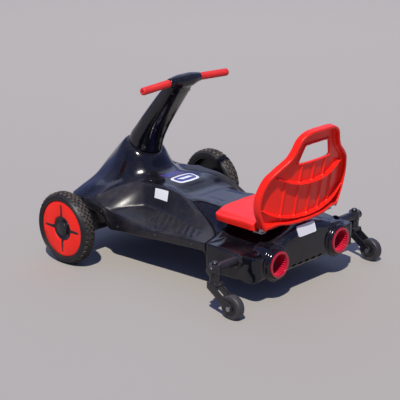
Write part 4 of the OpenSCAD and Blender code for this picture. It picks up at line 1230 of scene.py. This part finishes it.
class KART_OT_soften(bpy.types.Operator):
    """Rounds the edges of the steel and moulded pieces"""

    bl_idname = "kart.soften"
    bl_label = "Rounded pieces"

    def execute(self, context):
        for node, width in SOFTENED:
            soften(node, width * MM)
        return {"FINISHED"}


# Stage

CAMERA_YAW, CAMERA_PITCH, CAMERA_ROLL = 46.57, -17.8, -0.31
CAMERA_FOCAL_PX = 1333
IMAGE_PX = 400
CAMERA_PLACE = Vector((-3.278, -3.395 + AXLE_Y, 1.654))
SUN_POWER, SUN_ANGLE, SUN_COLOUR = 4.4, math.radians(1.5), (1.0, 0.95, 0.88)
SUN_WAY = (0.52, 0.38, -0.95)
RIM_POWER, RIM_SIZE, RIM_COLOUR = 40, 5.0, (0.8, 0.88, 1.0)
RIM_PLACE, RIM_AIM = Vector((3.5, 3.0, 4.0)), Vector((0, 0, 0.25))
SKY_COLOUR, SKY_POWER = (0.26, 0.33, 0.74, 1), 0.62
FLOOR_COLOUR, FLOOR_ROUGH, FLOOR_SIZE = (0.34, 0.32, 0.29, 1), 0.9, 40


class KART_OT_stage(bpy.types.Operator):
    """Floor, lamps and the camera at the photograph's angle"""

    bl_idname = "kart.stage"
    bl_label = "Stage"

    def execute(self, context):
        place_camera(context.scene)
        place_lights(context.scene)
        make_floor()
        return {"FINISHED"}


def place_camera(scene):
    """The camera at the photograph's angle, found from the kart's own points."""
    data = bpy.data.cameras.new("photo_camera")
    cam = bpy.data.objects.new("photo_camera", data)
    scene.collection.objects.link(cam)
    data.sensor_width = 36
    data.lens = data.sensor_width * CAMERA_FOCAL_PX / IMAGE_PX
    data.clip_end = 100
    yaw, pitch, roll = (math.radians(a) for a in (CAMERA_YAW, CAMERA_PITCH, CAMERA_ROLL))
    aim = Vector((math.sin(yaw) * math.cos(pitch), math.cos(yaw) * math.cos(pitch), math.sin(pitch)))
    turn = aim.to_track_quat("-Z", "Y").to_matrix() @ Matrix.Rotation(roll, 3, "Z")
    cam.matrix_world = Matrix.Translation(CAMERA_PLACE) @ turn.to_4x4()
    scene.camera = cam


def add_light(scene, name, kind, power, colour, way):
    """A light that shines along a direction."""
    data = bpy.data.lights.new(name, kind)
    data.energy, data.color = power, colour
    light = bpy.data.objects.new(name, data)
    scene.collection.objects.link(light)
    light.rotation_euler = Vector(way).to_track_quat("-Z", "Y").to_euler()
    return light


def place_lights(scene):
    """A high sun from behind the camera's left, a weak rim light and a blue sky."""
    sun = add_light(scene, "sun", "SUN", SUN_POWER, SUN_COLOUR, SUN_WAY)
    sun.data.angle = SUN_ANGLE
    rim = add_light(scene, "rim", "AREA", RIM_POWER, RIM_COLOUR, RIM_AIM - RIM_PLACE)
    rim.data.size, rim.location = RIM_SIZE, RIM_PLACE
    world = bpy.data.worlds.new("studio")
    world.use_nodes = True
    sky = world.node_tree.nodes["Background"]
    sky.inputs["Color"].default_value = SKY_COLOUR
    sky.inputs["Strength"].default_value = SKY_POWER
    scene.world = world
    scene.view_settings.view_transform = "Standard"


def make_floor():
    """A wide plain grey floor."""
    bm = bmesh.new()
    bmesh.ops.create_grid(bm, x_segments=1, y_segments=1, size=FLOOR_SIZE)
    mesh = mesh_of(bm, "floor")
    mat = bpy.data.materials.new("floor")
    mat.use_nodes = True
    shader = mat.node_tree.nodes["Principled BSDF"]
    shader.inputs["Base Color"].default_value = FLOOR_COLOUR
    shader.inputs["Roughness"].default_value = FLOOR_ROUGH
    mesh.materials.append(mat)
    floor = bpy.data.objects.new("floor", mesh)
    bpy.context.scene.collection.objects.link(floor)


STEPS = [KART_OT_paint, KART_OT_soften, KART_OT_body, KART_OT_seat, KART_OT_column, KART_OT_wheels,
         KART_OT_lamps, KART_OT_marks, KART_OT_stage]


class KART_PT_build(bpy.types.Panel):
    """Lists the steps that build the kart's finish"""

    bl_label = "Kart"
    bl_idname = "KART_PT_build"
    bl_space_type = "VIEW_3D"
    bl_region_type = "UI"
    bl_category = "Kart"

    def draw(self, context):
        for step in STEPS:
            self.layout.operator(step.bl_idname)
        for group in (context.scene.kart_sizes, context.scene.kart_colours):
            for prop in group.bl_rna.properties:
                if prop.identifier not in ("rna_type", "name"):
                    self.layout.prop(group, prop.identifier)


CLASSES = [KartSizes, KartColours, *STEPS, KART_PT_build]


def register():
    """Registers the classes and gives the scene its sizes and colours."""
    for cls in CLASSES:
        bpy.utils.register_class(cls)
    bpy.types.Scene.kart_sizes = PointerProperty(type=KartSizes)
    bpy.types.Scene.kart_colours = PointerProperty(type=KartColours)


def unregister():
    """Undoes register."""
    del bpy.types.Scene.kart_colours
    del bpy.types.Scene.kart_sizes
    for cls in reversed(CLASSES):
        bpy.utils.unregister_class(cls)


def main():
    """Builds the kart's finish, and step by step."""
    register()
    bpy.ops.kart.paint()
    bpy.ops.kart.soften()
    bpy.ops.kart.body()
    bpy.ops.kart.seat()
    bpy.ops.kart.column()
    bpy.ops.kart.wheels()
    bpy.ops.kart.lamps()
    bpy.ops.kart.marks()
    bpy.ops.kart.stage()


if __name__ == "__main__":
    main()
